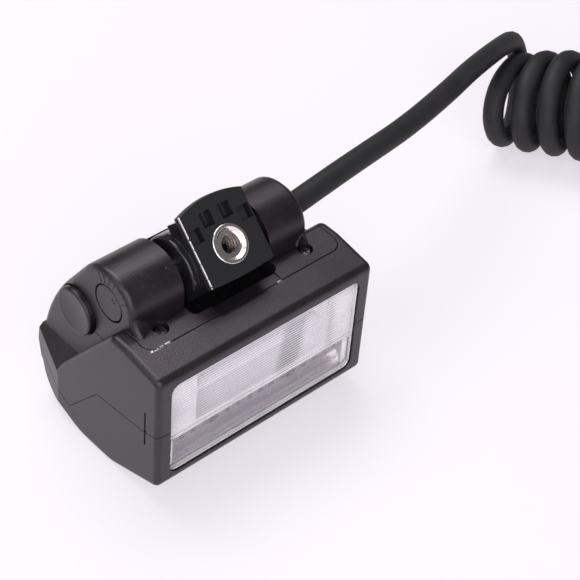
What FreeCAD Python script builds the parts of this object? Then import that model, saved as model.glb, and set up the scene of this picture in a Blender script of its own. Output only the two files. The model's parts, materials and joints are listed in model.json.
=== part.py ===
import FreeCAD, Part
import math
import os
from FreeCAD import Vector

# One head of a macro twin flash with its curly cord. Millimetres, +Z up.
# The window looks along -Y, the cord leaves along +X, and the belly stands on z = 0.

# Window, which sets the height of the front face
WINDOW_SIDE = 3.8       # side panel to the window's edge
WINDOW_H = 28.2
WINDOW_MID_Z = 22.0
WINDOW_R = 2.5
WINDOW_T = 1.6
WINDOW_RECESS = 0.3
WINDOW_GAP = 0.1
CHIN_H = 2.3            # front face below the window
BROW_H = 2.9            # front face above the window
RIB_PITCH = 0.66
RIB_DEPTH = 0.3
FLANGE_LIP = 1.2
FLANGE_DEPTH = 1.0

# Head shells
WIDTH = 64.6            # over the two side panels
DEPTH = 49.0            # window side to rear wall
WALL = 1.8
SEAM = 0.2              # visible joint between two shells
DECK_RISE = 2.0         # flat deck above the upper edge of the front face
DECK_RUN = 12.0         # from the front face back to where the deck turns level
DECK_BACK = 17.2        # from the front face back to where the side panels drop
BELLY_FRONT = 17.0      # front face to the flat of the belly
BELLY_FLAT = 12.0       # length of that flat, which the head stands on
TAIL_Z = 5.7            # height of the lower rear edge
TAIL_IN = 4.5           # that edge ahead of the rear wall
TAIL_EDGE = (2.2, 4.2)      # corners over it: ahead of the rear wall, over the tail
TAIL_LIP = (2.6, 6.0)
TAIL_NOTCH = (8.0, 4.8)
TAIL_KNEE = (13.3, 12.6)
HIP_BACK = (2.0, 2.6)       # rear wall below its widest point: ahead of it, over the tail
TAIL_BACK = (3.6, 0.3)
EDGE_ROUND = 2.0        # front face into belly and deck
BELLY_ROUND = 14.0
TAIL_ROUND = 5.0
KNEE_ROUND = 20.0
SLOPE_ROUND = 2.5
DECK_ROUND = 6.0
END_STEP = 4.1          # side panels to the recessed end faces
CORD_END_STEP = 8.3     # side panel to the right end of the raised barrel
PANEL_ROUND = 1.5
END_ROUND = 1.5
COVER_SEAM_DROP = 9.0   # deck down to the joint of cover and body on the end faces
COVER_FRONT = 8.2       # front face to the joint of the cover on the deck
COVER_LEFT_STEP = 0.3   # cover's left edge outside the end face
COVER_RIGHT_STEP = 2.5  # cover's right edge inside the side panel
COVER_CORNER_R = 3.0
FRONT_SEAM_Z = WINDOW_MID_Z     # joint of the two shells on the front and side
SEAM_STEP = (5.5, 1.4)          # that joint behind the front face: back, drop
SEAM_KNEE = (21.9, 3.1)
SEAM_LOW = (16.3, 0.6)          # and ahead of the rear wall: distance, height over the tail
SEAM_HIGH = (4.1, 5.9)
SEAM_END = 8.2
FACET_RISE = 14.5       # upper edge of the dark facet low on each end, over the tail
FACET_LOW_RISE = 8.5    # its lower edge
FACET_RUN = 12.0        # its length, up to the rear wall
TAIL_TAPER = 3.6        # how far each side draws in at the rear
LATCH_SLIT = (4.2, 0.5, 10.4, 1.0)      # centre behind the front face, width, height, depth

# Barrel and tilting foot
AXIS_BACK = 22.8        # front face to the hinge axis
AXIS_RISE = 3.5         # deck to the hinge axis
BARREL_R = 8.3
FAIRING_STEP = 2.2      # the radius behind the barrel's crown is larger by this much
CROWN_FLAT = 0.95       # level run on the crown before it
SHOULDER_SHARE = 0.6145     # place of the rear shoulder between axis and rear wall
SHOULDER_DROP = 5.0     # hinge axis down to that shoulder
HIP_RISE = 8.6          # widest point of the rear wall, over the tail
FLARE_R = 10.0          # hollow flare from the barrel's ends down to the deck
FLARE_INNER_R = 3.0
FLARE_SINK = 1.4        # the flare runs out this far below the deck
FLARE_FOOT = 4.0        # and stands on a foot of this height inside the deck
FLARE_LEFT = 5.0        # width of the flare at the left end
FLARE_RIGHT = 3.5
SLOT_LEFT_GAP = 2.5     # drum to the side walls of its well
SLOT_RIGHT_GAP = 1.8
SLOT_FRONT_RUN = 11.8   # hinge axis to the well's front wall
SLOT_REAR_RUN = 15.2
SLOT_ROUND = 6.0
SLOT_CORNER = 1.6
SLOT_FLOOR_GAP = 1.0
FINGER = (8.2, 10.8, 4.7, 0.8)      # shallow recess before the slot: left, right, length, depth
REST_TILT = 45.0        # the plate faces this far forward of straight up
FOOT_MID_X = -0.2
DRUM_R = 8.5
DRUM_LENGTH = 21.2
PLATE_WIDTH = 18.5      # standard accessory shoe foot
PLATE_T = 2.0
PLATE_TOP = 11.6        # axis to the plate's face
PLATE_FRONT = 7.2
PLATE_REAR = 10.4
PLATE_FRONT_BOW = 0.5
PLATE_REAR_BOW = 1.7
NECK_WIDTH = 17.9
NECK_FRONT = 6.6
NECK_REAR = 8.3
SHELF_REAR = 9.6        # shelf under the plate that closes the pockets
SHELF_LOW = 5.0
POCKET = (3.1, 3.6)     # width and length of the two through pockets
POCKET_X = 2.7
POCKET_U = -7.4
CATCH = (3.3, 3.4)      # width and length of the two side catches
CATCH_X = 7.1
CATCH_U = -4.9
CATCH_DEPTH = 0.5
CATCH_SLOT = (1.2, 2.2)     # width and depth of the deep slot at the right of each catch
POCKET_DEPTH = 3.4
BUSH_R = 4.7
BUSH_STAND = 0.15       # bush above the plate
BUSH_LENGTH = 7.4
THREAD_R = 3.2          # crest-to-crest radius of a 1/4 inch tripod thread
THREAD_LEAD_IN = 0.7
AXLE_R = 2.5
RUNNING = 0.05          # radial clearance of shafts that turn
FREE = 0.3              # clearance round parts that move without a bearing
DISC_R = 4.55
DISC_T = 2.0
WHEEL_T = 1.2
WHEEL_GAP = 1.0         # index disc to detent wheel
WHEEL_STEP = 15.0       # detent every so many degrees
NOTCH_R = 0.5
LEAF_T = 0.3
LEAF_BUMP_R = 0.5
LEAF_GAP = 0.1          # bump to the wheel's rim

# Tilt release button
BUTTON_BACK = 15.1      # rear wall to the button's middle
BUTTON_DROP = 10.0      # hinge axis down to the button's middle
BUTTON_R = 6.15
BUTTON_STAND = 1.6
BUTTON_TRAVEL = 1.5
BUTTON_EDGE = 0.6
FLANGE_R = 7.0
FLANGE_T = 1.0
STEM_R = 2.0
STEM_GAP = 0.6          # pressed stem to the wall of the foot's well
BRACKET_T = 1.2
BRACKET_H = 8.0
DISH_R = 40.0
SPRING_MEAN_R = 3.2
SPRING_WIRE = 0.6
SPRING_PITCH = 1.1

# Lamp and electronics
FRAME_T = 1.2
TUBE_LENGTH = 44.0
TUBE_REACH = 2.0        # tube beyond the lamp opening, at each end
TUBE_R = 2.0
CAP_R = 3.2
CAP_LENGTH = 3.0
CAP_GAP = 0.6           # lamp opening to the cap
LAMP_TOP_GAP = 0.9      # window's edge to the lamp opening
LAMP_DEPTH = 9.5
LAMP_WALL = 0.5
LAMP_SIDE_IN = 3.0      # how far each end wall leans in
TRAY_SIDE = 1.5         # window's edge to the tray
TRAY_FOOT = 0.5
TRAY_H = 9.4
TRAY_DEPTH = 4.2
TRAY_WALL = 0.8
BAND_GAP = 1.6          # tray to the lamp opening
GUIDE_STEP = 2.0        # height of the light guide's lower step
GUIDE_GROOVES = 14
FOCUS_X = 12.0
FOCUS_RISE = 4.2        # tray's foot to the focus lamps
FOCUS_R = 1.5
FOCUS_LENGTH = 4.0
FOCUS_BOARD = (18.0, 3.5, 1.0)      # half width, half height, thickness
BOARD_T = 1.2
BOARD_SIDE = 8.3        # side panel to the board's edge
BOARD_LOW_Z = 8.0
BOARD_DROP = 10.0       # deck to the board's upper edge
BOARD_CORNER = (5.0, 6.0)
BOARD_HOLE_R = 1.1
BOARD_HOLE = (3.5, 4.0)     # from the board's edges
BOARD_BACK = 16.6       # front face to the board's front
FORK_X = (-16.8, 15.3)
FORK_T = 1.5
BOBBIN = (3.6, 2.9, 6.0, 0.8)       # flange radius, core radius, length, flange thickness
BOBBIN_PLACE = (-12.0, 20.0)
CAPACITOR = (8.0, 4.6, 10.0)        # width, depth, height
CAPACITOR_PLACE = (2.6, 21.0)       # gap to the wire terminal, height
TERMINAL = (8.0, 5.0, 4.5)
TERMINAL_PLACE = (5.4, 20.2)        # from the board's right edge, height
TERMINAL_PITCH = 2.5
SCREW_SIDE = 10.6       # side panel to the cover screws
SCREW_BACK = 12.4
SCREW_SINK = 0.8        # screw heads below the deck
SCREW_HEAD_R = 1.75
SCREW_HEAD_T = 1.1
SCREW_R = 1.1
SCREW_LENGTH = 7.5
TOWER_R = 2.5
TOWER_DROP = 10.0       # deck to the lower end of the screw towers
PAD_T = 1.5

# Cord
CORD_D = 5.9
GLAND_R = 4.3
GLAND_STAND = 1.2
GLAND_NECK_R = 3.6
LEAD_RUN = 13.8         # straight run out of the gland
LEAD = [
    (56.0, 1.3, 44.0),
    (74.0, 5.8, 43.2),
    (92.0, 11.2, 41.6),
    (109.0, 18.0, 38.6),
]                       # next corners of the lead, up to the coil
COIL_START = (133.7, 29.9)      # middle of the first turn, seen from above
COIL_R = 11.4           # turn radius at the middle of the cord
COIL_PITCH = 8.3
COIL_HEADING = -52.0    # the way the coil runs, degrees from +X
COIL_FACE = -72.0       # the first turn faces this way and the later ones turn to the heading
COIL_FACE_TURNS = 4.5
COIL_LEAN = 12.5        # turns lean over by this much
COIL_SWELL = 2.5        # the lead comes in over the first turn, wider and further along
COIL_SWELL_TURNS = 0.5
COIL_SHIFT = 5.0
COIL_SHIFT_TURNS = 0.2
COIL_SAG = 3.0          # the next tops hang lower, most at the first
COIL_SAG_TURNS = (0.4, 1.0, 3.0)
COIL_FIRST = 0.03
COIL_TURNS = 12
COIL_STEPS = 4          # arc pairs per turn
TAIL_RUNS = [(14.0, 0.0, 0.0), (15.0, 24.0, 1.2), (15.0, 46.0, 2.25), (12.0, 58.0, 0.0)]    # run, turn, climb
BOOT_LENGTH = 15.0
BOOT_R = 4.9
BOOT_RIBS = 4
PLUG_R = 6.4
PLUG_LENGTH = 19.0
PLUG_BORE_R = 5.3
PLUG_BORE = 7.0
FLUTE_R = 0.7
PIN_R = 0.6
PIN_LENGTH = 4.5
PIN_CIRCLE_R = 2.6

FRONT_Y = -DEPTH / 2
REAR_Y = DEPTH / 2
SIDE_X = WIDTH / 2
END_X = SIDE_X - END_STEP
CORD_END_X = SIDE_X - CORD_END_STEP
WINDOW_W = WIDTH - 2 * WINDOW_SIDE
WINDOW_LOW_Z = WINDOW_MID_Z - WINDOW_H / 2
WINDOW_TOP_Z = WINDOW_MID_Z + WINDOW_H / 2
CHIN_Z = WINDOW_LOW_Z - CHIN_H
BROW_Z = WINDOW_TOP_Z + BROW_H
DECK_Z = BROW_Z + DECK_RISE
AXIS_Y = FRONT_Y + AXIS_BACK
AXIS_Z = DECK_Z + AXIS_RISE
COVER_SEAM_Z = DECK_Z - COVER_SEAM_DROP
COVER_LEFT_X = -END_X - COVER_LEFT_STEP
COVER_RIGHT_X = SIDE_X - COVER_RIGHT_STEP
SLOT_LEFT_X = FOOT_MID_X - DRUM_LENGTH / 2 - SLOT_LEFT_GAP
SLOT_RIGHT_X = FOOT_MID_X + DRUM_LENGTH / 2 + SLOT_RIGHT_GAP
WHEEL_X = -END_X + DISC_T + WHEEL_GAP
WHEEL_R = BARREL_R - WALL - LEAF_T - LEAF_BUMP_R - LEAF_GAP
FAIRING_R = BARREL_R + FAIRING_STEP
BUTTON_Y = REAR_Y - BUTTON_BACK
BUTTON_Z = AXIS_Z - BUTTON_DROP
FLANGE_X = -END_X + WALL + 0.2
STEM_END_X = SLOT_LEFT_X - WALL - BUTTON_TRAVEL - STEM_GAP
BRACKET_X = STEM_END_X - STEM_GAP - BRACKET_T
LAMP_W = TUBE_LENGTH - 2 * TUBE_REACH
TRAY_X = WINDOW_W / 2 - TRAY_SIDE
TRAY_LOW_Z = WINDOW_LOW_Z + TRAY_FOOT
TRAY_TOP_Z = TRAY_LOW_Z + TRAY_H
RIB_FOOT_Z = TRAY_TOP_Z + BAND_GAP - 1.0
LAMP_LOW_Z = TRAY_TOP_Z + BAND_GAP
LAMP_TOP_Z = WINDOW_TOP_Z - LAMP_TOP_GAP
FOCUS_Z = TRAY_LOW_Z + FOCUS_RISE
BOARD_X = SIDE_X - BOARD_SIDE
BOARD_TOP_Z = DECK_Z - BOARD_DROP
SCREW_X = SIDE_X - SCREW_SIDE
TOWER_LOW_Z = DECK_Z - TOWER_DROP
X_AXIS = Vector(1, 0, 0)
Y_AXIS = Vector(0, 1, 0)


def round_wire(points, radii):
    """Closed wire through the points, each corner rounded by an arc of its own radius."""
    count = len(points)
    radii = radii if isinstance(radii, (list, tuple)) else [radii] * count
    corners = []
    for i, point in enumerate(points):
        before = (points[i - 1] - point).normalize()
        after = (points[(i + 1) % count] - point).normalize()
        half = before.getAngle(after) / 2
        if radii[i] <= 0:
            corners.append((point, None, point))
            continue
        reach = radii[i] / math.tan(half)
        middle = (before + after).normalize()
        centre = point + middle * (radii[i] / math.sin(half))
        crown = centre - middle * radii[i]
        corners.append((point + before * reach, crown, point + after * reach))
    edges = []
    for i, (start, crown, end) in enumerate(corners):
        if crown is not None:
            edges.append(Part.Arc(start, crown, end).toShape())
        following = corners[(i + 1) % count][0]
        if end.distanceToPoint(following) > 1e-6:
            edges.append(Part.makeLine(end, following))
    return Part.Wire(edges)


def prism_x(points, radii, low, high):
    """Solid with an outline in (y, z), from x = low to x = high."""
    wire = round_wire([Vector(low, y, z) for y, z in points], radii)
    return Part.Face(wire).extrude(Vector(high - low, 0, 0))


def prism_z(points, radii, low, high):
    """Solid with an outline in (x, y), from z = low to z = high."""
    wire = round_wire([Vector(x, y, low) for x, y in points], radii)
    return Part.Face(wire).extrude(Vector(0, 0, high - low))


def prism_y(points, radii, low, high):
    """Solid with an outline in (x, z), from y = low to y = high."""
    wire = round_wire([Vector(x, low, z) for x, z in points], radii)
    return Part.Face(wire).extrude(Vector(0, high - low, 0))


def box(x0, x1, y0, y1, z0, z1):
    return Part.makeBox(x1 - x0, y1 - y0, z1 - z0, Vector(x0, y0, z0))


def rod_x(radius, x0, x1, y, z):
    return Part.makeCylinder(radius, x1 - x0, Vector(x0, y, z), X_AXIS)


def round_edges(solid, radius, wanted):
    """Fillets of one radius on the edges that the test picks by their box."""
    edges = [edge for edge in solid.Edges if wanted(edge.BoundBox)]
    return solid.makeFillet(radius, edges)


def joined(shapes):
    solid = shapes[0].fuse(shapes[1:]) if len(shapes) > 1 else shapes[0]
    return solid.removeSplitter()


def rectangle(x0, x1, z0, z1):
    return [(x0, z0), (x1, z0), (x1, z1), (x0, z1)]


# Outer form of the head

def flared_outline():
    """Side view of the wide lower body: front face, belly, sloped panel edge, deck."""
    return [
        (FRONT_Y, CHIN_Z),
        (FRONT_Y + BELLY_FRONT, 0),
        (FRONT_Y + BELLY_FRONT + BELLY_FLAT, 0),
        (REAR_Y - TAIL_IN, TAIL_Z),
        (REAR_Y - TAIL_EDGE[0], TAIL_Z + TAIL_EDGE[1]),
        (REAR_Y - TAIL_LIP[0], TAIL_Z + TAIL_LIP[1]),
        (REAR_Y - TAIL_NOTCH[0], TAIL_Z + TAIL_NOTCH[1]),
        (REAR_Y - TAIL_KNEE[0], TAIL_Z + TAIL_KNEE[1]),
        (FRONT_Y + DECK_BACK, DECK_Z),
        (FRONT_Y + DECK_RUN, DECK_Z),
        (FRONT_Y, BROW_Z),
    ]


def taper_cuts(half):
    """Wedges that draw each side in toward the rear."""
    start = REAR_Y - FACET_RUN
    wedges = []
    for side in (-1, 1):
        reach = side * half
        inner = side * (half - TAIL_TAPER)
        outer = side * (half + 2)
        outline = [(reach, start), (outer, start), (outer, REAR_Y + 1), (inner, REAR_Y + 1)]
        wedges.append(prism_z(outline, 0, -1, DECK_Z))
    return wedges


def flared_body(inset):
    """Wide lower body, drawn in by the inset on every side."""
    radii = [EDGE_ROUND, BELLY_ROUND, BELLY_ROUND, TAIL_ROUND, 0, 0, 0]
    radii += [KNEE_ROUND, SLOPE_ROUND, DECK_ROUND, EDGE_ROUND]
    wire = round_wire([Vector(0, y, z) for y, z in flared_outline()], radii)
    face = Part.Face(wire)
    if inset:
        face = face.makeOffset2D(-inset)
    half = SIDE_X - inset
    face.translate(Vector(-half, 0, 0))
    body = face.extrude(Vector(2 * half, 0, 0))
    body = body.cut(taper_cuts(half))
    return body


def touch_point(centre, radius, point):
    """Where the upper tangent from a point behind touches a circle in the side view."""
    way = point - centre
    turn = math.atan2(way.z, way.y) + math.acos(radius / way.Length)
    return centre + Vector(0, math.cos(turn), math.sin(turn)) * radius


def onward_arc(start, way, end):
    """Arc that leaves a point along a direction and ends at another."""
    chord = end - start
    turn = way.getAngle(chord)
    side = (way - chord * (way.dot(chord) / chord.dot(chord))).normalize()
    crown = (start + end) * 0.5 + side * (chord.Length / 2 * math.tan(turn / 2))
    return Part.Arc(start, crown, end).toShape()


def barrel_outline():
    """Side view of the raised part: front of the barrel, crown, fairing, rear wall, belly."""
    front = AXIS_Y - BARREL_R
    diagonal = BARREL_R * math.sin(math.pi / 4)
    nose = Vector(0, AXIS_Y - diagonal, AXIS_Z + diagonal)
    crown = Vector(0, AXIS_Y, AXIS_Z + BARREL_R)
    flat = crown + Vector(0, CROWN_FLAT, 0)
    centre = flat - Vector(0, 0, FAIRING_R)
    shoulder = Vector(0, AXIS_Y + SHOULDER_SHARE * (REAR_Y - AXIS_Y), AXIS_Z - SHOULDER_DROP)
    top = touch_point(centre, FAIRING_R, shoulder)
    swell = centre + ((top - centre) + (flat - centre)).normalize() * FAIRING_R
    hip = Vector(0, REAR_Y, TAIL_Z + HIP_RISE)
    low = WALL * 0.6
    corners = [
        hip,
        Vector(0, REAR_Y - HIP_BACK[0], TAIL_Z + HIP_BACK[1]),
        Vector(0, REAR_Y - TAIL_BACK[0], TAIL_Z + TAIL_BACK[1]),
        Vector(0, FRONT_Y + BELLY_FRONT + BELLY_FLAT, low),
        Vector(0, front, low),
        Vector(0, front, AXIS_Z),
    ]
    edges = [
        Part.Arc(Vector(0, front, AXIS_Z), nose, crown).toShape(),
        Part.makeLine(crown, flat),
        Part.Arc(flat, swell, top).toShape(),
        Part.makeLine(top, shoulder),
        onward_arc(shoulder, shoulder - top, hip),
    ]
    return edges + [Part.makeLine(a, b) for a, b in zip(corners, corners[1:])]


def raised_body(left, right, inset):
    """Barrel and rear wall between two end faces, drawn in by the inset."""
    face = Part.Face(Part.Wire(barrel_outline()))
    if inset:
        face = face.makeOffset2D(-inset)
    face.translate(Vector(left + inset, 0, 0))
    return face.extrude(Vector(right - left - 2 * inset, 0, 0))


def low_shoulder(inset):
    """Right end below the barrel, level with the left end face."""
    body = raised_body(CORD_END_X - 4, END_X, inset)
    top = box(0, WIDTH, -DEPTH, DEPTH, BROW_Z - inset, AXIS_Z + DEPTH)
    return body.cut(top)


def flare_outline(x, radius):
    """Side view of the flare between barrel and deck: an arc that touches the barrel."""
    floor = DECK_Z - FLARE_SINK
    reach = BARREL_R + radius
    rise = floor + radius - AXIS_Z
    run = math.sqrt(reach * reach - rise * rise)
    centre = Vector(x, AXIS_Y - run, AXIS_Z + rise)
    touch = Vector(x, AXIS_Y - run * BARREL_R / reach, AXIS_Z + rise * BARREL_R / reach)
    foot = Vector(x, centre.y, floor)
    way = ((touch - centre) + (foot - centre)).normalize()
    low = Vector(x, centre.y, floor - FLARE_FOOT)
    heart = Vector(x, AXIS_Y, floor - FLARE_FOOT)
    corners = [foot, low, heart, Vector(x, AXIS_Y, touch.z), touch]
    arc = Part.Arc(touch, centre + way * radius, foot).toShape()
    return Part.Wire([arc] + [Part.makeLine(a, b) for a, b in zip(corners, corners[1:])])


def flare(x, width):
    """Flare at one end of the barrel that dies away toward the middle."""
    body = Part.makeLoft([flare_outline(x, FLARE_R), flare_outline(x + width, FLARE_INNER_R)], True, True)
    rim = lambda b: b.XLength < 0.01 and abs(b.XMin - x) < 0.01 and b.YLength > 8 and b.ZLength > 3
    return round_edges(body, END_ROUND, rim)


def end_facets():
    """Sloped facets between each end face and the lower rear corner."""
    start = REAR_Y - FACET_RUN - 5
    low = TAIL_Z + 4
    top = TAIL_Z + FACET_RISE
    edge = TAIL_Z + FACET_LOW_RISE
    rear = raised_body(-SIDE_X, SIDE_X, 0).cut(taper_cuts(SIDE_X))
    facets = []
    for side in (-1, 1):
        inner = side * (END_X - END_ROUND - 0.5)
        outer = side * SIDE_X
        section = [(inner, low), (outer, low), (outer, edge), (side * END_X, top), (inner, top)]
        facets.append(prism_y(section, 0, start, REAR_Y).common(rear))
    return facets


def outer_form():
    reach = REAR_Y - FACET_RUN - 1
    flared = flared_body(0)
    rim = lambda b: b.XLength < 0.01 and abs(abs(b.XMin) - SIDE_X) < 0.01 and b.YMin < reach
    flared = round_edges(flared, PANEL_ROUND, rim)
    crown = lambda b: b.XLength < 0.01 and b.ZMin > AXIS_Z - 12
    raised = round_edges(raised_body(-END_X, CORD_END_X, 0), END_ROUND, crown)
    flares = [flare(-END_X, FLARE_LEFT), flare(CORD_END_X, -FLARE_RIGHT)]
    return joined([flared, raised, low_shoulder(0)] + flares + end_facets())


def inner_space():
    raised = raised_body(-END_X, CORD_END_X, WALL)
    return joined([flared_body(WALL), raised, low_shoulder(WALL)])


def cover_region(grow):
    """Space of the top cover: a rounded outline seen from above, down to its seam."""
    front = FRONT_Y + COVER_FRONT - grow
    left = COVER_LEFT_X - grow
    right = COVER_RIGHT_X + grow
    outline = [(left, front), (right, front), (right, REAR_Y + 5), (left, REAR_Y + 5)]
    corner = COVER_CORNER_R + grow
    return prism_z(outline, [corner, corner, 0, 0], COVER_SEAM_Z - grow, AXIS_Z + DEPTH)


def case_region(grow):
    """Space of the lower case: everything below the seam that drops toward the rear."""
    seam = [
        (FRONT_Y - 2, FRONT_SEAM_Z),
        (FRONT_Y, FRONT_SEAM_Z),
        (FRONT_Y + SEAM_STEP[0], FRONT_SEAM_Z - SEAM_STEP[1]),
        (FRONT_Y + SEAM_KNEE[0], FRONT_SEAM_Z - SEAM_KNEE[1]),
        (REAR_Y - SEAM_LOW[0], TAIL_Z + SEAM_LOW[1]),
        (REAR_Y - SEAM_HIGH[0], TAIL_Z + SEAM_HIGH[1]),
        (REAR_Y + 2, TAIL_Z + SEAM_END),
    ]
    outline = [(y, z + grow) for y, z in seam] + [(REAR_Y + 2, -5), (FRONT_Y - 2, -5)]
    return prism_x(outline, 0, -SIDE_X - 1, SIDE_X + 1)


def slot_space(grow):
    """Well between the two barrels that the foot sinks into."""
    front = AXIS_Y - SLOT_FRONT_RUN - grow
    rear = AXIS_Y + SLOT_REAR_RUN + grow
    left = SLOT_LEFT_X - grow
    right = SLOT_RIGHT_X + grow
    floor = AXIS_Z - DRUM_R - SLOT_FLOOR_GAP - grow
    top = AXIS_Z + DEPTH
    corner = SLOT_ROUND + grow
    outline = [(front, top), (front, floor), (rear, floor), (rear, top)]
    side_view = prism_x(outline, [0, corner, corner, 0], left, right)
    outline = [(left, front), (right, front), (right, rear), (left, rear)]
    plan = prism_z(outline, SLOT_CORNER + grow, floor - 1, top + 1)
    return side_view.common(plan)


def finger_recess():
    left, right, length, depth = FINGER
    slot = AXIS_Y - SLOT_FRONT_RUN
    front = slot - length
    rear = slot + 0.5
    outline = [(-left, front), (right, front), (right, rear), (-left, rear)]
    return prism_z(outline, [1.5, 1.5, 0, 0], DECK_Z - depth, DECK_Z + 2)


def window_opening(grow, low, high):
    half = WINDOW_W / 2 + grow
    bottom = WINDOW_LOW_Z - grow
    top = WINDOW_TOP_Z + grow
    corner = max(WINDOW_R + grow, 0.5)
    return prism_y(rectangle(-half, half, bottom, top), corner, low, high)


def latch_slits():
    back, wide, tall, deep = LATCH_SLIT
    y = FRONT_Y + back
    low = FRONT_SEAM_Z - tall / 2
    return [box(side - deep, side + deep, y, y + wide, low, low + tall) for side in (-SIDE_X, SIDE_X)]


def screw_places():
    return [(side * SCREW_X, FRONT_Y + SCREW_BACK) for side in (-1, 1)]


def upright(radius, x, y, low, high):
    return Part.makeCylinder(radius, high - low, Vector(x, y, low))


def button_passage():
    return rod_x(BUTTON_R + FREE, -SIDE_X - 1, -END_X + WALL + 2, BUTTON_Y, BUTTON_Z)


# Head shells

def top_cover(shell, outer):
    """Cover with both barrels, the foot's well, screw seats and bearing holes."""
    skin = shell.common(cover_region(0))
    well = slot_space(WALL).common(outer).common(cover_region(0))
    pads = [upright(TOWER_R + 0.8, x, y, DECK_Z - WALL - PAD_T, DECK_Z - 0.5) for x, y in screw_places()]
    body = joined([skin, well] + pads)
    cuts = [slot_space(0), finger_recess(), button_passage()]
    cuts.append(rod_x(AXLE_R + RUNNING, SLOT_LEFT_X - WALL - 1, SLOT_RIGHT_X + WALL + 1, AXIS_Y, AXIS_Z))
    cuts.append(rod_x(DISC_R + FREE, -SIDE_X, -END_X + WALL + 1, AXIS_Y, AXIS_Z))
    cuts.append(rod_x(GLAND_NECK_R + 0.05, CORD_END_X - WALL - 1, SIDE_X, AXIS_Y, AXIS_Z))
    for x, y in screw_places():
        cuts.append(upright(SCREW_HEAD_R + 0.15, x, y, DECK_Z - SCREW_SINK - SCREW_HEAD_T, AXIS_Z))
        cuts.append(upright(SCREW_R + 0.2, x, y, DECK_Z - WALL - PAD_T - 1, DECK_Z))
    return body.cut(cuts)


def main_housing(shell):
    """Front, side panels and rear wall, with the towers for the cover screws."""
    skin = shell.cut([cover_region(SEAM), case_region(SEAM)])
    posts = []
    top = DECK_Z - WALL - PAD_T - 0.1
    for x, y in screw_places():
        side = math.copysign(1, x)
        posts.append(upright(TOWER_R, x, y, TOWER_LOW_Z, top))
        ends = sorted([x, side * (SIDE_X - WALL / 2)])
        posts.append(box(ends[0], ends[1], y - 0.6, y + 0.6, TOWER_LOW_Z, top))
    body = joined([skin] + posts)
    cuts = [window_opening(0, FRONT_Y - 1, FRONT_Y + WALL), finger_recess(), button_passage()] + latch_slits()
    for x, y in screw_places():
        cuts.append(upright(SCREW_R + 0.02, x, y, TOWER_LOW_Z - 1, top + 1))
    return body.cut(cuts)


def bottom_case(shell):
    """Belly with the forked ribs that hold the circuit board."""
    skin = shell.common(case_region(0))
    board = FRONT_Y + BOARD_BACK
    forks = []
    for x in FORK_X:
        fork = box(x, x + FORK_T, board - 1.4, board + BOARD_T + 1.4, WALL / 2, BOARD_LOW_Z + 2)
        ends = (board - 0.1, board + BOARD_T + 0.1)
        slot = box(x - 1, x + FORK_T + 1, *ends, BOARD_LOW_Z - 0.1, BOARD_LOW_Z + 3)
        forks.append(fork.cut(slot))
    body = joined([skin] + forks)
    return body.cut([window_opening(0, FRONT_Y - 1, FRONT_Y + WALL)] + latch_slits())


# Window, lamp and electronics

def flash_window():
    """Clear window: plain pane, fine prism ribs on the upper field's back, flange behind the wall."""
    front = FRONT_Y + WINDOW_RECESS
    back = FRONT_Y + WALL
    pane = window_opening(-WINDOW_GAP, front, back + 0.2)
    half = WINDOW_W / 2 + FLANGE_LIP
    low = WINDOW_LOW_Z - FLANGE_LIP / 2
    high = WINDOW_TOP_Z + FLANGE_LIP / 2
    flange = prism_y(rectangle(-half, half, low, high), WINDOW_R, back, back + FLANGE_DEPTH)
    body = joined([pane, flange])
    top = WINDOW_TOP_Z - 1.2
    count = int((top - RIB_FOOT_Z) / RIB_PITCH)
    face = back + FLANGE_DEPTH
    teeth = [(face + 0.2, RIB_FOOT_Z)]
    for k in range(count):
        z = RIB_FOOT_Z + k * RIB_PITCH
        teeth.append((face - RIB_DEPTH, z))
        teeth.append((face, z + RIB_PITCH * 0.92))
    teeth.append((face + 0.2, RIB_FOOT_Z + count * RIB_PITCH))
    inner = WINDOW_W / 2 - 1.2
    plain = prism_y(rectangle(-inner, inner, WINDOW_LOW_Z + 1.2, RIB_FOOT_Z - 0.8), 1.0, face - 0.6, face + 1)
    return body.cut([prism_x(teeth, 0, -inner, inner), plain])


def lamp_frame():
    """White mask behind the window: lamp opening above, tray for the light guide below."""
    front = FRONT_Y + WALL + FLANGE_DEPTH
    back = front + FRAME_T
    half = WINDOW_W / 2 + FLANGE_LIP
    low = WINDOW_LOW_Z - FLANGE_LIP / 2
    high = WINDOW_TOP_Z + FLANGE_LIP / 2
    plate = prism_y(rectangle(-half, half, low, high), WINDOW_R, front, back)
    tray = box(-TRAY_X, TRAY_X, front, front + TRAY_DEPTH, TRAY_LOW_Z, TRAY_TOP_Z)
    body = joined([plate, tray])
    inner = TRAY_X - TRAY_WALL
    ends = (front - 1, front + TRAY_DEPTH - 0.7)
    hollow = box(-inner, inner, *ends, TRAY_LOW_Z + TRAY_WALL, TRAY_TOP_Z - TRAY_WALL)
    mouth = rectangle(-LAMP_W / 2, LAMP_W / 2, LAMP_LOW_Z, LAMP_TOP_Z)
    cuts = [hollow, prism_y(mouth, 0.8, front - 1, back + 1)]
    for x in (-FOCUS_X, FOCUS_X):
        place = Vector(x, front, FOCUS_Z)
        cuts.append(Part.makeCylinder(FOCUS_R + 0.1, TRAY_DEPTH + 2, place, Y_AXIS))
    return body.cut(cuts)


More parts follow.
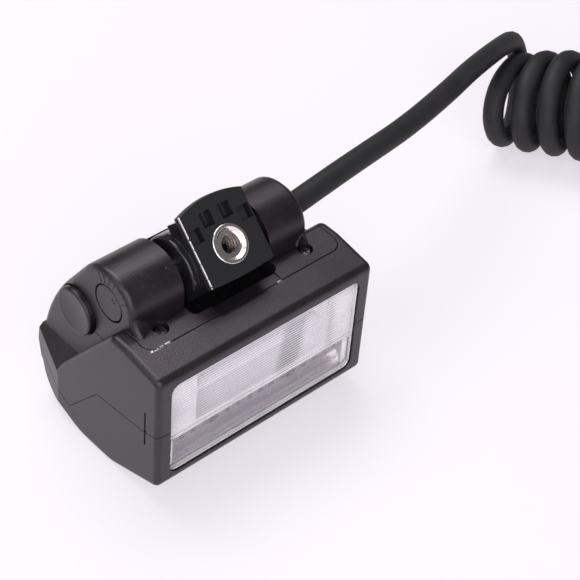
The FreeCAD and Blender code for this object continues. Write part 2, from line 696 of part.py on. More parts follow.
def light_guide():
    """Clear stepped bar in the tray that spreads the focusing light."""
    front = FRONT_Y + WALL + FLANGE_DEPTH
    back = front + TRAY_DEPTH - 0.8
    low = TRAY_LOW_Z + TRAY_WALL + 0.1
    high = TRAY_TOP_Z - TRAY_WALL - 0.1
    outline = [
        (front + 0.2, low),
        (back, low),
        (back, high),
        (front + 1.6, high),
        (front + 1.6, low + GUIDE_STEP + 1.2),
        (front + 0.2, low + GUIDE_STEP),
    ]
    half = TRAY_X - TRAY_WALL - 0.1
    body = prism_x(outline, 0, -half, half)
    step = 2 * (half - 2) / GUIDE_GROOVES
    grooves = []
    for k in range(GUIDE_GROOVES):
        x = 2 - half + (k + 0.5) * step
        notch = [(x - 1, front + 1.5), (x + 1, front + 1.5), (x, front + 2.2)]
        grooves.append(prism_z(notch, 0, low + GUIDE_STEP + 1.6, high + 1))
    return body.cut(grooves)


def lamp_profile(grow):
    """Reflector bowl as a solid, grown for its outside."""
    mouth = FRONT_Y + WALL + FLANGE_DEPTH + FRAME_T
    middle = (LAMP_LOW_Z + LAMP_TOP_Z) / 2
    half = (LAMP_TOP_Z - LAMP_LOW_Z) / 2 + grow
    low = Vector(-SIDE_X, mouth, middle - half)
    apex = Vector(-SIDE_X, mouth + LAMP_DEPTH + grow, middle)
    high = Vector(-SIDE_X, mouth, middle + half)
    face = Part.Face(Part.Wire([Part.Arc(low, apex, high).toShape(), Part.makeLine(high, low)]))
    bowl = face.extrude(Vector(2 * SIDE_X, 0, 0))
    wide = LAMP_W / 2 + grow
    deep = LAMP_DEPTH + 2
    thin = wide - LAMP_SIDE_IN * deep / LAMP_DEPTH
    sides = [(-wide, mouth), (wide, mouth), (thin, mouth + deep), (-thin, mouth + deep)]
    return bowl.common(prism_z(sides, 0, 0, DECK_Z + 5))


def reflector():
    mouth = FRONT_Y + WALL + FLANGE_DEPTH + FRAME_T
    rim = LAMP_WALL + 0.8
    half = LAMP_W / 2 + rim
    plate = prism_y(rectangle(-half, half, LAMP_LOW_Z - rim, LAMP_TOP_Z + rim), 1.2, mouth, mouth + LAMP_WALL)
    body = joined([plate, lamp_profile(LAMP_WALL)])
    inside = lamp_profile(0)
    lamp = rod_x(TUBE_R + 0.1, -SIDE_X, SIDE_X, *lamp_axis())
    return body.cut([inside, lamp])


def lamp_axis():
    mouth = FRONT_Y + WALL + FLANGE_DEPTH + FRAME_T
    return mouth + 0.42 * LAMP_DEPTH, (LAMP_LOW_Z + LAMP_TOP_Z) / 2


def flash_tube():
    return rod_x(TUBE_R, -TUBE_LENGTH / 2, TUBE_LENGTH / 2, *lamp_axis())


def tube_caps():
    y, z = lamp_axis()
    inner = LAMP_W / 2 + CAP_GAP
    caps = []
    for side in (-1, 1):
        near = side * inner
        far = side * (inner + CAP_LENGTH)
        body = rod_x(CAP_R, min(near, far), max(near, far), y, z)
        bottom = side * (TUBE_LENGTH / 2 + 0.05)
        bore = rod_x(TUBE_R + 0.03, min(bottom, near), max(bottom, near), y, z)
        caps.append(body.cut(bore))
    return Part.makeCompound(caps)


def focus_lamps():
    back = FRONT_Y + WALL + FLANGE_DEPTH + TRAY_DEPTH - 0.6
    lamps = []
    for x in (-FOCUS_X, FOCUS_X):
        stem = Part.makeCylinder(FOCUS_R, FOCUS_LENGTH, Vector(x, back, FOCUS_Z), Y_AXIS)
        place = Vector(x, back + FOCUS_LENGTH - 0.6, FOCUS_Z)
        foot = Part.makeCylinder(FOCUS_R + 0.35, 0.6, place, Y_AXIS)
        lamps.append(joined([stem, foot]))
    return Part.makeCompound(lamps)


def focus_board():
    front = FRONT_Y + WALL + FLANGE_DEPTH + TRAY_DEPTH - 0.6 + FOCUS_LENGTH
    half, rise, thick = FOCUS_BOARD
    return prism_y(rectangle(-half, half, FOCUS_Z - rise, FOCUS_Z + rise), 0.8, front, front + thick)


def circuit_board():
    y = FRONT_Y + BOARD_BACK
    outline = [
        (-BOARD_X, BOARD_LOW_Z),
        (BOARD_X, BOARD_LOW_Z),
        (BOARD_X, BOARD_TOP_Z - BOARD_CORNER[1]),
        (BOARD_X - BOARD_CORNER[0], BOARD_TOP_Z),
        (-BOARD_X, BOARD_TOP_Z),
    ]
    body = prism_y(outline, 0.6, y, y + BOARD_T)
    side = BOARD_X - BOARD_HOLE[0]
    low = BOARD_LOW_Z + BOARD_HOLE[1]
    places = [Vector(x, y - BOARD_T, low) for x in (-side, side)]
    return body.cut([Part.makeCylinder(BOARD_HOLE_R, 3 * BOARD_T, place, Y_AXIS) for place in places])


def trigger_coil():
    """Bobbin with two flanges, on the board's rear."""
    base = FRONT_Y + BOARD_BACK + BOARD_T
    rim, core, long, thick = BOBBIN
    profile = [(0, 0), (rim, 0), (rim, thick), (core, thick)]
    profile += [(core, long - thick), (rim, long - thick), (rim, long), (0, long)]
    wire = Part.makePolygon([Vector(r, h, 0) for r, h in profile + profile[:1]])
    body = Part.Face(wire).revolve(Vector(), Y_AXIS, 360)
    body.translate(Vector(BOBBIN_PLACE[0], base, BOBBIN_PLACE[1]))
    return body


def trigger_capacitor():
    base = FRONT_Y + BOARD_BACK + BOARD_T
    wide, deep, tall = CAPACITOR
    gap, z = CAPACITOR_PLACE
    x = BOARD_X - TERMINAL_PLACE[0] - TERMINAL[0] / 2 - gap - wide / 2
    body = box(x - wide / 2, x + wide / 2, base, base + deep, z - tall / 2, z + tall / 2)
    return round_edges(body, 0.8, lambda b: b.YMin > base + 1 or b.YLength > 4)


def wire_terminal():
    base = FRONT_Y + BOARD_BACK + BOARD_T
    wide, deep, tall = TERMINAL
    x = BOARD_X - TERMINAL_PLACE[0]
    z = TERMINAL_PLACE[1]
    body = box(x - wide / 2, x + wide / 2, base, base + deep, z - tall / 2, z + tall / 2)
    sockets = [upright(0.8, x + k * TERMINAL_PITCH, base + deep / 2, z, z + tall) for k in (-1, 0, 1)]
    return body.cut(sockets)


def cover_screws():
    """Two pan-head screws, sunk in their seats."""
    screws = []
    for x, y in screw_places():
        base = DECK_Z - SCREW_SINK - SCREW_HEAD_T
        head = upright(SCREW_HEAD_R, x, y, base, base + SCREW_HEAD_T)
        head = round_edges(head, 0.4, lambda b: b.ZMin > base + 0.5 and b.XLength > 1)
        shank = upright(SCREW_R, x, y, base - SCREW_LENGTH, base + 0.2)
        screws.append(joined([head, shank]))
    return Part.makeCompound(screws)


# Tilting foot, drawn facing straight up about the axis and then laid at its rest tilt

def placed(shape):
    shape.rotate(Vector(), X_AXIS, REST_TILT)
    shape.translate(Vector(0, AXIS_Y, AXIS_Z))
    return shape


def foot_block(mid, size, u, low, high):
    """Upright box on the foot: width and length, middle at x = mid and u toward the front."""
    wide, long = size
    return box(mid - wide / 2, mid + wide / 2, -u - long / 2, -u + long / 2, low, high)


def pocket_cuts(low):
    middles = [FOOT_MID_X - POCKET_X, FOOT_MID_X + POCKET_X]
    return [foot_block(middle, POCKET, POCKET_U, low, PLATE_TOP + 1) for middle in middles]


def foot_plate():
    """Shoe plate with bowed ends, bush hole, two through pockets and two stepped side catches."""
    left = FOOT_MID_X - PLATE_WIDTH / 2
    right = FOOT_MID_X + PLATE_WIDTH / 2
    low = PLATE_TOP - PLATE_T
    front = Part.Arc(Vector(left, -PLATE_FRONT, low), Vector(FOOT_MID_X, -PLATE_FRONT - PLATE_FRONT_BOW, low),
                     Vector(right, -PLATE_FRONT, low)).toShape()
    rear = Part.Arc(Vector(right, PLATE_REAR, low), Vector(FOOT_MID_X, PLATE_REAR + PLATE_REAR_BOW, low),
                    Vector(left, PLATE_REAR, low)).toShape()
    sides = [Part.makeLine(front.Vertexes[-1].Point, rear.Vertexes[0].Point),
             Part.makeLine(rear.Vertexes[-1].Point, front.Vertexes[0].Point)]
    face = Part.Face(Part.Wire([front, sides[0], rear, sides[1]]))
    body = face.extrude(Vector(0, 0, PLATE_T))
    body = round_edges(body, 0.4, lambda b: b.ZMin > low + 0.5 * PLATE_T and b.ZLength < 0.01)
    cuts = [upright(BUSH_R + 0.05, 0, 0, 0, PLATE_TOP + 1)] + pocket_cuts(0)
    for side in (-1, 1):
        middle = FOOT_MID_X + side * CATCH_X
        cuts.append(foot_block(middle, CATCH, CATCH_U, PLATE_TOP - CATCH_DEPTH, PLATE_TOP + 1))
        slot, deep = CATCH_SLOT
        edge = middle + (CATCH[0] - slot) / 2
        cuts.append(foot_block(edge, (slot, CATCH[1]), CATCH_U, PLATE_TOP - deep, PLATE_TOP + 1))
    return placed(body.cut(cuts))


def foot_drum():
    """Drum on the hinge axis with the neck that carries the plate."""
    low = FOOT_MID_X - DRUM_LENGTH / 2
    drum = rod_x(DRUM_R, low, low + DRUM_LENGTH, 0, 0)
    drum = round_edges(drum, 0.6, lambda b: b.XLength < 0.01 and b.YLength > 1)
    half = NECK_WIDTH / 2
    outline = [(FOOT_MID_X - half, -NECK_FRONT), (FOOT_MID_X + half, -NECK_FRONT)]
    outline += [(FOOT_MID_X + half, NECK_REAR), (FOOT_MID_X - half, NECK_REAR)]
    neck = prism_z(outline, 1.0, 0, PLATE_TOP - PLATE_T)
    shelf = box(FOOT_MID_X - half, FOOT_MID_X + half, 0, SHELF_REAR, SHELF_LOW, PLATE_TOP - PLATE_T)
    body = joined([drum, neck, shelf])
    cuts = pocket_cuts(PLATE_TOP - POCKET_DEPTH)
    cuts.append(rod_x(AXLE_R, -END_X, END_X, 0, 0))
    cuts.append(upright(BUSH_R + 0.05, 0, 0, PLATE_TOP + BUSH_STAND - BUSH_LENGTH, PLATE_TOP))
    return placed(body.cut(cuts))


def tripod_bush():
    """Threaded bush with a lead-in at its mouth; the thread is at its crest radius."""
    high = PLATE_TOP + BUSH_STAND
    low = high - BUSH_LENGTH
    body = upright(BUSH_R, 0, 0, low, high)
    body = round_edges(body, 0.3, lambda b: b.ZMin > high - 0.01 and b.XLength > 1)
    bore = upright(THREAD_R, 0, 0, low - 1, high + 1)
    mouth = Vector(0, 0, high - THREAD_LEAD_IN)
    cone = Part.makeCone(THREAD_R, THREAD_R + THREAD_LEAD_IN, THREAD_LEAD_IN, mouth)
    return placed(body.cut([bore, cone]))


def hinge_axle():
    return placed(rod_x(AXLE_R, -END_X + DISC_T, SLOT_RIGHT_X + 3.3, 0, 0))


def index_disc():
    body = rod_x(DISC_R, -END_X, -END_X + DISC_T, 0, 0)
    return placed(round_edges(body, 0.3, lambda b: b.XMax < -END_X + 0.1 and b.YLength > 1))


def detent_wheel():
    """Notched wheel on the axle; one notch for every tilt step."""
    body = rod_x(WHEEL_R, WHEEL_X, WHEEL_X + WHEEL_T, 0, 0)
    cuts = [rod_x(AXLE_R, WHEEL_X - 1, WHEEL_X + WHEEL_T + 1, 0, 0)]
    for k in range(round(360 / WHEEL_STEP)):
        turn = math.radians(k * WHEEL_STEP)
        rim = (WHEEL_R * math.cos(turn), WHEEL_R * math.sin(turn))
        cuts.append(rod_x(NOTCH_R, WHEEL_X - 1, WHEEL_X + WHEEL_T + 1, *rim))
    return placed(body.cut(cuts))


def detent_spring():
    """Leaf on the cover's front wall whose bump faces the wheel's notches."""
    wall = AXIS_Y - BARREL_R + WALL + 0.05
    left = WHEEL_X + 0.1
    right = WHEEL_X + WHEEL_T - 0.1
    leaf = box(left, right, wall, wall + LEAF_T, DECK_Z - 2, AXIS_Z + LEAF_BUMP_R)
    bump = rod_x(LEAF_BUMP_R, left, right, wall + LEAF_T, AXIS_Z)
    bump = bump.common(box(-SIDE_X, 0, wall, AXIS_Y, DECK_Z - 2, AXIS_Z + BARREL_R))
    return joined([leaf, bump])


# Tilt release button

def release_button():
    """Cap with a shallow dish, flange behind the wall with a flat toward the rear wall, guide stem."""
    face = -END_X - BUTTON_STAND
    cap = rod_x(BUTTON_R, face, FLANGE_X, BUTTON_Y, BUTTON_Z)
    cap = round_edges(cap, BUTTON_EDGE, lambda b: b.XMax < face + 0.1 and b.YLength > 1)
    flange = rod_x(FLANGE_R, FLANGE_X, FLANGE_X + FLANGE_T, BUTTON_Y, BUTTON_Z)
    flange = flange.common(raised_body(-END_X, CORD_END_X, WALL + FREE - 0.1))
    stem = rod_x(STEM_R, FLANGE_X, STEM_END_X, BUTTON_Y, BUTTON_Z)
    dish = Part.makeSphere(DISH_R, Vector(face - DISH_R + 0.35, BUTTON_Y, BUTTON_Z))
    return joined([cap, flange, stem]).cut(dish)


def lock_slider():
    """Arm on the stem whose tooth faces the wheel; pressing the button moves it past the wheel."""
    near = FLANGE_X + FLANGE_T
    reach = math.hypot(AXIS_Y - BUTTON_Y, AXIS_Z - BUTTON_Z) - WHEEL_R - 0.35
    ring = rod_x(SPRING_MEAN_R + 0.6, near, near + WHEEL_T, 0, 0)
    outline = [(0, -1.6), (reach - 1.6, -1.6), (reach, -0.4), (reach, 0.4), (reach - 1.6, 1.6), (0, 1.6)]
    arm = prism_x(outline, 0, near, near + WHEEL_T)
    body = joined([ring, arm]).cut(rod_x(STEM_R, near - 1, near + WHEEL_T + 1, 0, 0))
    turn = math.degrees(math.atan2(AXIS_Z - BUTTON_Z, AXIS_Y - BUTTON_Y))
    body.rotate(Vector(), X_AXIS, turn)
    body.translate(Vector(0, BUTTON_Y, BUTTON_Z))
    return body


def spring_span():
    low = FLANGE_X + FLANGE_T + WHEEL_T + SPRING_WIRE / 2
    return low, BRACKET_X - SPRING_WIRE / 2


def spring_turns():
    low, high = spring_span()
    return max(1, round((high - low) / SPRING_PITCH))


def spring_point(turn):
    """Point of the button's spring, which starts on the slider and ends on the bracket."""
    low, high = spring_span()
    angle = 2 * math.pi * turn
    y = BUTTON_Y + SPRING_MEAN_R * math.cos(angle)
    z = BUTTON_Z + SPRING_MEAN_R * math.sin(angle)
    return Vector(low + (high - low) * turn / spring_turns(), y, z)


def way_at(place, turn):
    """Direction of a winding at a count of turns."""
    return (place(turn + 0.001) - place(turn - 0.001)).normalize()


def wound(place, start, end, pairs):
    """Arc pairs along a winding from one count of turns to another."""
    step = (end - start) / pairs
    turns = [start + k * step for k in range(pairs + 1)]
    edges = []
    for a, b in zip(turns, turns[1:]):
        edges += arc_pair(place(a), way_at(place, a), place(b), way_at(place, b))
    return edges


def button_spring():
    """Compression spring between the slider and the bracket."""
    turns = spring_turns()
    return swept(wound(spring_point, 0, turns, 4 * turns), SPRING_WIRE / 2)


def lock_bracket():
    """Plate that guides the stem and stops the spring, held on the wall of the foot's well."""
    wall = SLOT_LEFT_X - WALL
    half = BRACKET_H / 2
    front = AXIS_Y + 0.7
    top = BUTTON_Z + half
    plate = box(BRACKET_X, BRACKET_X + BRACKET_T, front, BUTTON_Y + half, BUTTON_Z - half, top)
    plate = plate.common(raised_body(-END_X, CORD_END_X, WALL + FREE))
    web = box(BRACKET_X, wall, front, front + BRACKET_T, BUTTON_Z, top)
    tab = box(wall - BRACKET_T, wall, front, front + BRACKET_H - 2.5, BUTTON_Z, top)
    hole = rod_x(STEM_R + RUNNING, BRACKET_X - 1, BRACKET_X + BRACKET_T + 1, BUTTON_Y, BUTTON_Z)
    return joined([plate, web, tab]).cut(hole)


# Cord

def cord_gland():
    """Collar outside, neck through the end wall and collar inside, in one piece."""
    wall = CORD_END_X - WALL
    collar = rod_x(GLAND_R, CORD_END_X, CORD_END_X + GLAND_STAND, AXIS_Y, AXIS_Z)
    collar = round_edges(collar, 0.4, lambda b: b.XMin > CORD_END_X + 0.5)
    neck = rod_x(GLAND_NECK_R, wall, CORD_END_X, AXIS_Y, AXIS_Z)
    nut = rod_x(GLAND_R + 0.2, wall - 1.2, wall, AXIS_Y, AXIS_Z)
    return joined([collar, neck, nut])


def bend_radius(before, corner, after):
    """Arc radius at a corner: both arcs of a run fit on it."""
    half = (corner - before).getAngle(after - corner) / 2
    shorter = min(before.distanceToPoint(corner), corner.distanceToPoint(after))
    return 0.45 * shorter / math.tan(half)


def run_edges(points):
    """Straight runs joined by tangent arcs."""
    edges = []
    start = points[0]
    for before, corner, after in zip(points, points[1:], points[2:]):
        back = (before - corner).normalize()
        on = (after - corner).normalize()
        reach = 0.45 * min(before.distanceToPoint(corner), corner.distanceToPoint(after))
        half = back.getAngle(on) / 2
        radius = reach * math.tan(half)
        middle = (back + on).normalize()
        crown = corner + middle * (radius / math.sin(half) - radius)
        edges.append(Part.makeLine(start, corner + back * reach))
        edges.append(Part.Arc(corner + back * reach, crown, corner + on * reach).toShape())
        start = corner + on * reach
    edges.append(Part.makeLine(start, points[-1]))
    return edges


def tangent_arc(start, corner, end):
    """Arc between two points at equal distances from the corner of their tangents."""
    back = (start - corner).normalize()
    on = (end - corner).normalize()
    half = back.getAngle(on) / 2
    reach = start.distanceToPoint(corner)
    radius = reach * math.tan(half)
    crown = corner + (back + on).normalize() * (radius / math.sin(half) - radius)
    return Part.Arc(start, crown, end).toShape()


def arc_pair(start, way, end, onward):
    """Two arcs that leave one point along its direction and reach the next along its own."""
    span = end - start
    total = way + onward
    lean = 1 - way.dot(onward)
    along = span.dot(total)
    reach = (math.sqrt(along * along + 2 * lean * span.dot(span)) - along) / (2 * lean)
    first = start + way * reach
    second = end - onward * reach
    joint = (first + second) * 0.5
    return [tangent_arc(start, first, joint), tangent_arc(joint, second, end)]


def swept(edges, radius):
    """Round tube along a tangent path."""
    path = Part.Wire(edges)
    start = edges[0].Vertexes[0].Point
    way = edges[0].tangentAt(edges[0].FirstParameter)
    ring = Part.Wire(Part.makeCircle(radius, start, way))
    shell = Part.BRepOffsetAPI.MakePipeShell(path)
    shell.add(ring)
    shell.build()
    shell.makeSolid()
    return shell.shape()


def sag_share(turn):
    """How far the sag is in at a count of turns: none, full, none, with soft ends."""
    begin, full, end = COIL_SAG_TURNS
    share = (turn - begin) / (full - begin) if turn < full else (end - turn) / (end - full)
    share = min(max(share, 0.0), 1.0)
    return share * share * (3 - 2 * share)


def coil_point(turn):
    """Point of the coil at a count of turns, from the top of the first turn."""
    face = COIL_FACE + (COIL_HEADING - COIL_FACE) * min(turn / COIL_FACE_TURNS, 1.0)
    face = math.radians(face)
    lean = math.radians(COIL_LEAN)
    heading = math.radians(COIL_HEADING)
    forward = Vector(math.cos(face), math.sin(face), 0)
    across = Vector(-math.sin(face), math.cos(face), 0)
    rise = forward * -math.sin(lean) + Vector(0, 0, math.cos(lean))
    middle = Vector(COIL_START[0], COIL_START[1], CORD_D / 2 + COIL_R * math.cos(lean))
    shift = COIL_SHIFT * max(0, 1 - turn / COIL_SHIFT_TURNS) ** 2
    middle += Vector(math.cos(heading), math.sin(heading), 0) * (COIL_PITCH * turn + shift)
    radius = COIL_R + COIL_SWELL * max(0, 1 - turn / COIL_SWELL_TURNS) ** 2
    angle = 2 * math.pi * turn
    drop = COIL_SAG * sag_share(turn) * (1 + math.cos(angle)) / 2
    return middle + across * (radius * math.sin(angle)) + rise * (radius * math.cos(angle) - drop)


def coil_ends():
    """First and last count of turns: it starts before the top and ends at the bottom."""
    return COIL_FIRST, COIL_TURNS - 0.5


def cord_points():
    """Corners of the whole cord route: lead, coil samples and tail."""
    exit_face = Vector(CORD_END_X + GLAND_STAND, AXIS_Y, AXIS_Z)
    lead = [exit_face, exit_face + X_AXIS * LEAD_RUN] + [Vector(*point) for point in LEAD]
    first, last = coil_ends()
    arrive = coil_point(first)
    way = (arrive - lead[-1]).normalize()
    lead.append(arrive - way * (2 * CORD_D))
    floor = coil_point(last)
    onward = way_at(coil_point, last)
    heading = math.atan2(onward.y, onward.x)
    tail = [floor + Vector(math.cos(heading), math.sin(heading), 0) * CORD_D]
    for run, turn, climb in TAIL_RUNS:
        bearing = heading - math.radians(turn)
        tail.append(tail[-1] + Vector(math.cos(bearing) * run, math.sin(bearing) * run, climb))
    return lead, tail


def cord_lead():
    lead, tail = cord_points()
    return swept(run_edges(lead), CORD_D / 2)


def coil_edges():
    """Path of the curls: a straight end of one cord width, arc pairs, and a level straight end."""
    lead, tail = cord_points()
    first, last = coil_ends()
    way = (lead[-1] - lead[-2]).normalize()
    start = lead[-1] + way * CORD_D
    edges = [Part.makeLine(lead[-1], start)]
    turn = first + 0.1
    edges += arc_pair(start, way, coil_point(turn), way_at(coil_point, turn))
    settled = last - 1.0 / COIL_STEPS
    edges += wound(coil_point, turn, settled, round((settled - turn) * COIL_STEPS))
    floor = coil_point(last)
    level = (tail[0] - floor).normalize()
    edges += arc_pair(coil_point(settled), way_at(coil_point, settled), floor, level)
    edges.append(Part.makeLine(floor, tail[0]))
    return edges


def cord_coil():
    """The curls as one unbroken tube."""
    return swept(coil_edges(), CORD_D / 2)


def cord_tail():
    lead, tail = cord_points()
    return swept(run_edges(tail), CORD_D / 2)


def plug_place(shape):
    """Lays a piece drawn along +X from the origin on the end of the tail."""
    lead, tail = cord_points()
    way = tail[-1] - tail[-2]
    shape.rotate(Vector(), Vector(0, 0, 1), math.degrees(math.atan2(way.y, way.x)))
    shape.translate(tail[-1])
    return shape


def revolved(profile):
    """Body of revolution about +X from an (x, radius) outline."""
    wire = Part.makePolygon([Vector(x, r, 0) for x, r in profile + profile[:1]])
    return Part.Face(wire).revolve(Vector(), X_AXIS, 360)


def plug_boot():
    """Ribbed flexible boot."""
    profile = [(0, 0), (0, CORD_D / 2 + 0.6)]
    step = (BOOT_LENGTH - 3) / BOOT_RIBS
    for k in range(BOOT_RIBS):
        radius = CORD_D / 2 + 0.8 + (BOOT_R - CORD_D / 2 - 0.8) * (k + 1) / BOOT_RIBS
        x = 0.8 + k * step
        rise = x + step * 0.45
        profile += [(x, radius - 0.7), (rise, radius - 0.5), (rise, radius), (x + step * 0.95, radius)]
    profile += [(BOOT_LENGTH, BOOT_R), (BOOT_LENGTH, 0)]
    return plug_place(revolved(profile))


def plug_shell():
    """Plain round plug body with grip flutes and an open front."""
    end = BOOT_LENGTH + PLUG_LENGTH
    profile = [
        (BOOT_LENGTH, 0),
        (BOOT_LENGTH, PLUG_R - 1),
        (BOOT_LENGTH + 1, PLUG_R),
        (end - 0.6, PLUG_R),
        (end, PLUG_R - 0.6),
        (end, PLUG_BORE_R),
        (end - PLUG_BORE, PLUG_BORE_R),
        (end - PLUG_BORE, 0),
    ]
    body = revolved(profile)
    flutes = []
    for k in range(12):
        turn = math.radians(k * 30 + 15)
        place = ((PLUG_R + 0.3) * math.cos(turn), (PLUG_R + 0.3) * math.sin(turn))
        flutes.append(rod_x(FLUTE_R, BOOT_LENGTH + 3, end - 4, *place))
    return plug_place(body.cut(flutes))


def plug_pins():
    """Insulating disc with its contact pins, at the bottom of the plug's bore."""
    end = BOOT_LENGTH + PLUG_LENGTH
    base = end - PLUG_BORE
    disc = rod_x(PLUG_BORE_R - 0.05, base, base + 1.5, 0, 0)
    pins = [disc]
    for k in range(4):
        turn = math.radians(45 + 90 * k)
        place = (PIN_CIRCLE_R * math.cos(turn), PIN_CIRCLE_R * math.sin(turn))
        pins.append(rod_x(PIN_R, base + 0.5, base + 1.5 + PIN_LENGTH, *place))
    return plug_place(joined(pins))


def head_shells():
    outer = outer_form()
    shell = outer.cut(inner_space())
    return {
        "top_cover": top_cover(shell, outer),
        "main_housing": main_housing(shell),
        "bottom_case": bottom_case(shell),
    }


PIECES = [
    flash_window,
    lamp_frame,
    light_guide,
    reflector,
    flash_tube,
    tube_caps,
    focus_lamps,
    focus_board,
    circuit_board,
    trigger_coil,
    trigger_capacitor,
    wire_terminal,
    cover_screws,
    detent_spring,
    lock_bracket,
    foot_drum,
    foot_plate,
    tripod_bush,
    hinge_axle,
    index_disc,
    detent_wheel,
    release_button,
    lock_slider,
    button_spring,
    cord_gland,
    cord_lead,
    cord_coil,
    cord_tail,
    plug_boot,
    plug_shell,
    plug_pins,
]


def print_bends():
    lead, tail = cord_points()
    for name, points in (("lead", lead), ("tail", tail)):
        radii = [bend_radius(*three) for three in zip(points, points[1:], points[2:])]
        runs = [a.distanceToPoint(b) for a, b in zip(points, points[1:])]
        print(name, "bend radii", [round(r, 1) for r in radii], "runs", [round(r, 1) for r in runs])
    points = []
    for edge in coil_edges():
        points += edge.discretize(Distance=1.0)
    near = round(3 * CORD_D)
    gap = min(a.distanceToPoint(b) for i, a in enumerate(points) for b in points[i + near:]) - CORD_D
    print("least gap between curls", round(gap, 2))


if __name__ == "__main__":
    os.makedirs("parts", exist_ok=True)
    shapes = head_shells()
    for make in PIECES:
        shapes[make.__name__] = make()
    for name, shape in shapes.items():
        box_size = shape.BoundBox
        print(name, shape.isValid(), len(shape.Solids), round(shape.Volume, 1), box_size)
        shape.exportStep("parts/" + name + ".step")
    print_bends()
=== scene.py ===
"""Looks of a macro twin flash head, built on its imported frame."""

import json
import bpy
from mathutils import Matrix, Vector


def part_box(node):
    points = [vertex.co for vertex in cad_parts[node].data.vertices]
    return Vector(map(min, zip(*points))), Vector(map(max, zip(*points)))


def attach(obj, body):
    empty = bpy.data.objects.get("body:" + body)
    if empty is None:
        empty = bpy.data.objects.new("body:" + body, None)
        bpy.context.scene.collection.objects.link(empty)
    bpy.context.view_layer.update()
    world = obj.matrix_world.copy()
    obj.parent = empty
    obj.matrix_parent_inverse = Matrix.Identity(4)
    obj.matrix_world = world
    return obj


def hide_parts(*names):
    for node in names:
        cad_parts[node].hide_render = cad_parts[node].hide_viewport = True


bl_info = {
    "name": "Macro flash head",
    "version": (1, 0, 0),
    "blender": (4, 5, 0),
    "location": "View3D > Sidebar > Flash Head",
    "description": "Finishes a macro flash head: shells, window, foot, button, cord and stage",
    "category": "Object",
}

from math import atan2, cos, pi, radians, sin

import bmesh
import bpy
from mathutils import Matrix, Vector

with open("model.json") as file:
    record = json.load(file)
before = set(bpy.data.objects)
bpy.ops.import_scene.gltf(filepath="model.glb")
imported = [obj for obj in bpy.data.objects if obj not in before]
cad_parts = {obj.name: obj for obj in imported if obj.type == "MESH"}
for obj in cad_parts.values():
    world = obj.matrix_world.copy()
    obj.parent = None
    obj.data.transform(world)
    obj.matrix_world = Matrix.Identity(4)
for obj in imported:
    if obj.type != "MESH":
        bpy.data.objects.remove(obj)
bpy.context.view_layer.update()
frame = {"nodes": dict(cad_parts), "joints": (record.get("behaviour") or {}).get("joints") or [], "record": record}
NODES = frame["nodes"]
MM = 0.001

# Places and sizes of the solids that no node's box gives

HINGE = next(joint for joint in frame["joints"] if joint["name"] == "foot_tilt")
AXIS = Vector(HINGE["pos_m"])
THREAD = next(mount for mount in frame["record"]["mounts"] if mount["name"] == "tripod_thread")
REST_TILT = radians(45)  # the plate faces this far forward of straight up
PLATE_TOP = 11.6 * MM  # hinge axis to the plate's face
BUSH_TOP = PLATE_TOP + 0.15 * MM
RIB_FOOT = 18.4 * MM  # height at which the window's ribs begin
SEAM_Y = -16.3 * MM  # cover's front seam on the sloped deck
SEAM_Z = 40.0 * MM  # just below the deck at that seam
TRAY_REACH = 26.5 * MM  # tray of the light guide: half width
TRAY_MIDDLE = 13.1 * MM  # and height of its middle
TRAY_HALF = 4.2 * MM

# Inputs of the geometry trees

THREAD_SHAPE = {
    "Radius": THREAD["dims"]["r_mm"] * MM, "Depth": 0.62 * MM, "Pitch": 1.27 * MM,
    "Length": 6.1 * MM,
}
THREAD_DROP = 0.4 * MM  # from the bush's top to the first turn
THREAD_WIDTHS = (0.92, 0.14)  # foot and crest of the ridge, as shares of the pitch
TICKS = {
    "Count": 7, "Radius": 6.35 * MM, "Step": radians(15), "First": radians(30),
    "Long": 2.2 * MM, "Width": 0.34 * MM, "Height": 0.22 * MM,
}
POINTER = {"First": radians(45), "Count": 1, "Radius": 3.1 * MM, "Long": 2.0 * MM}
POINTER_FOOT = {
    "First": radians(33), "Count": 2, "Radius": 2.1 * MM, "Long": 0.9 * MM,
    "Step": radians(24),
}

# Cover screws, in millimetres

SCREW_HEAD_R = 1.75
SCREW_HEAD_T = 1.1
SCREW_SHANK_R = 1.1
SCREW_CROWN = ((0.55, 0.03), (0.2, 0.14), (0.0, 0.45))  # in from the rim, down from the top
SCREW_TURNS = (0.2, 1.1)
SCREW_SEGMENTS = 48
RECESS = (2.1, 0.42, 1.0)  # length, width and depth of a bar of the recess
RECESS_LEAD = 0.2  # bar above the screw's top
RECESS_FOOT = (0.55, 0.865)  # length and width at its bottom, as shares
RECESS_TURN = 0.3  # quarter turns

# Window

RIB_PITCH = 0.82 * MM
RIB_SLOPE = 0.9  # share of the pitch over which a rib slopes
RIB_END = 1.4 * MM  # from the last rib to the window's upper edge
WINDOW_LIP = 1.3 * MM  # flange beyond the pane
WINDOW_CORNER = 2.4 * MM
FLANGE_THICK = 1.0 * MM
FIELD_SIDE = 1.6 * MM  # window's side to the ribs and the plain field
FIELD_GAP = 0.8 * MM  # plain field to the ribs
FIELD_CORNER = 1.0 * MM
FIELD_DEPTH = 0.6 * MM
OVERLAP = 0.2 * MM  # joined and cutting bodies pass the surface by this much

# Cord. The solids' coil is the stored one; the front turns lie where the photo shows them.

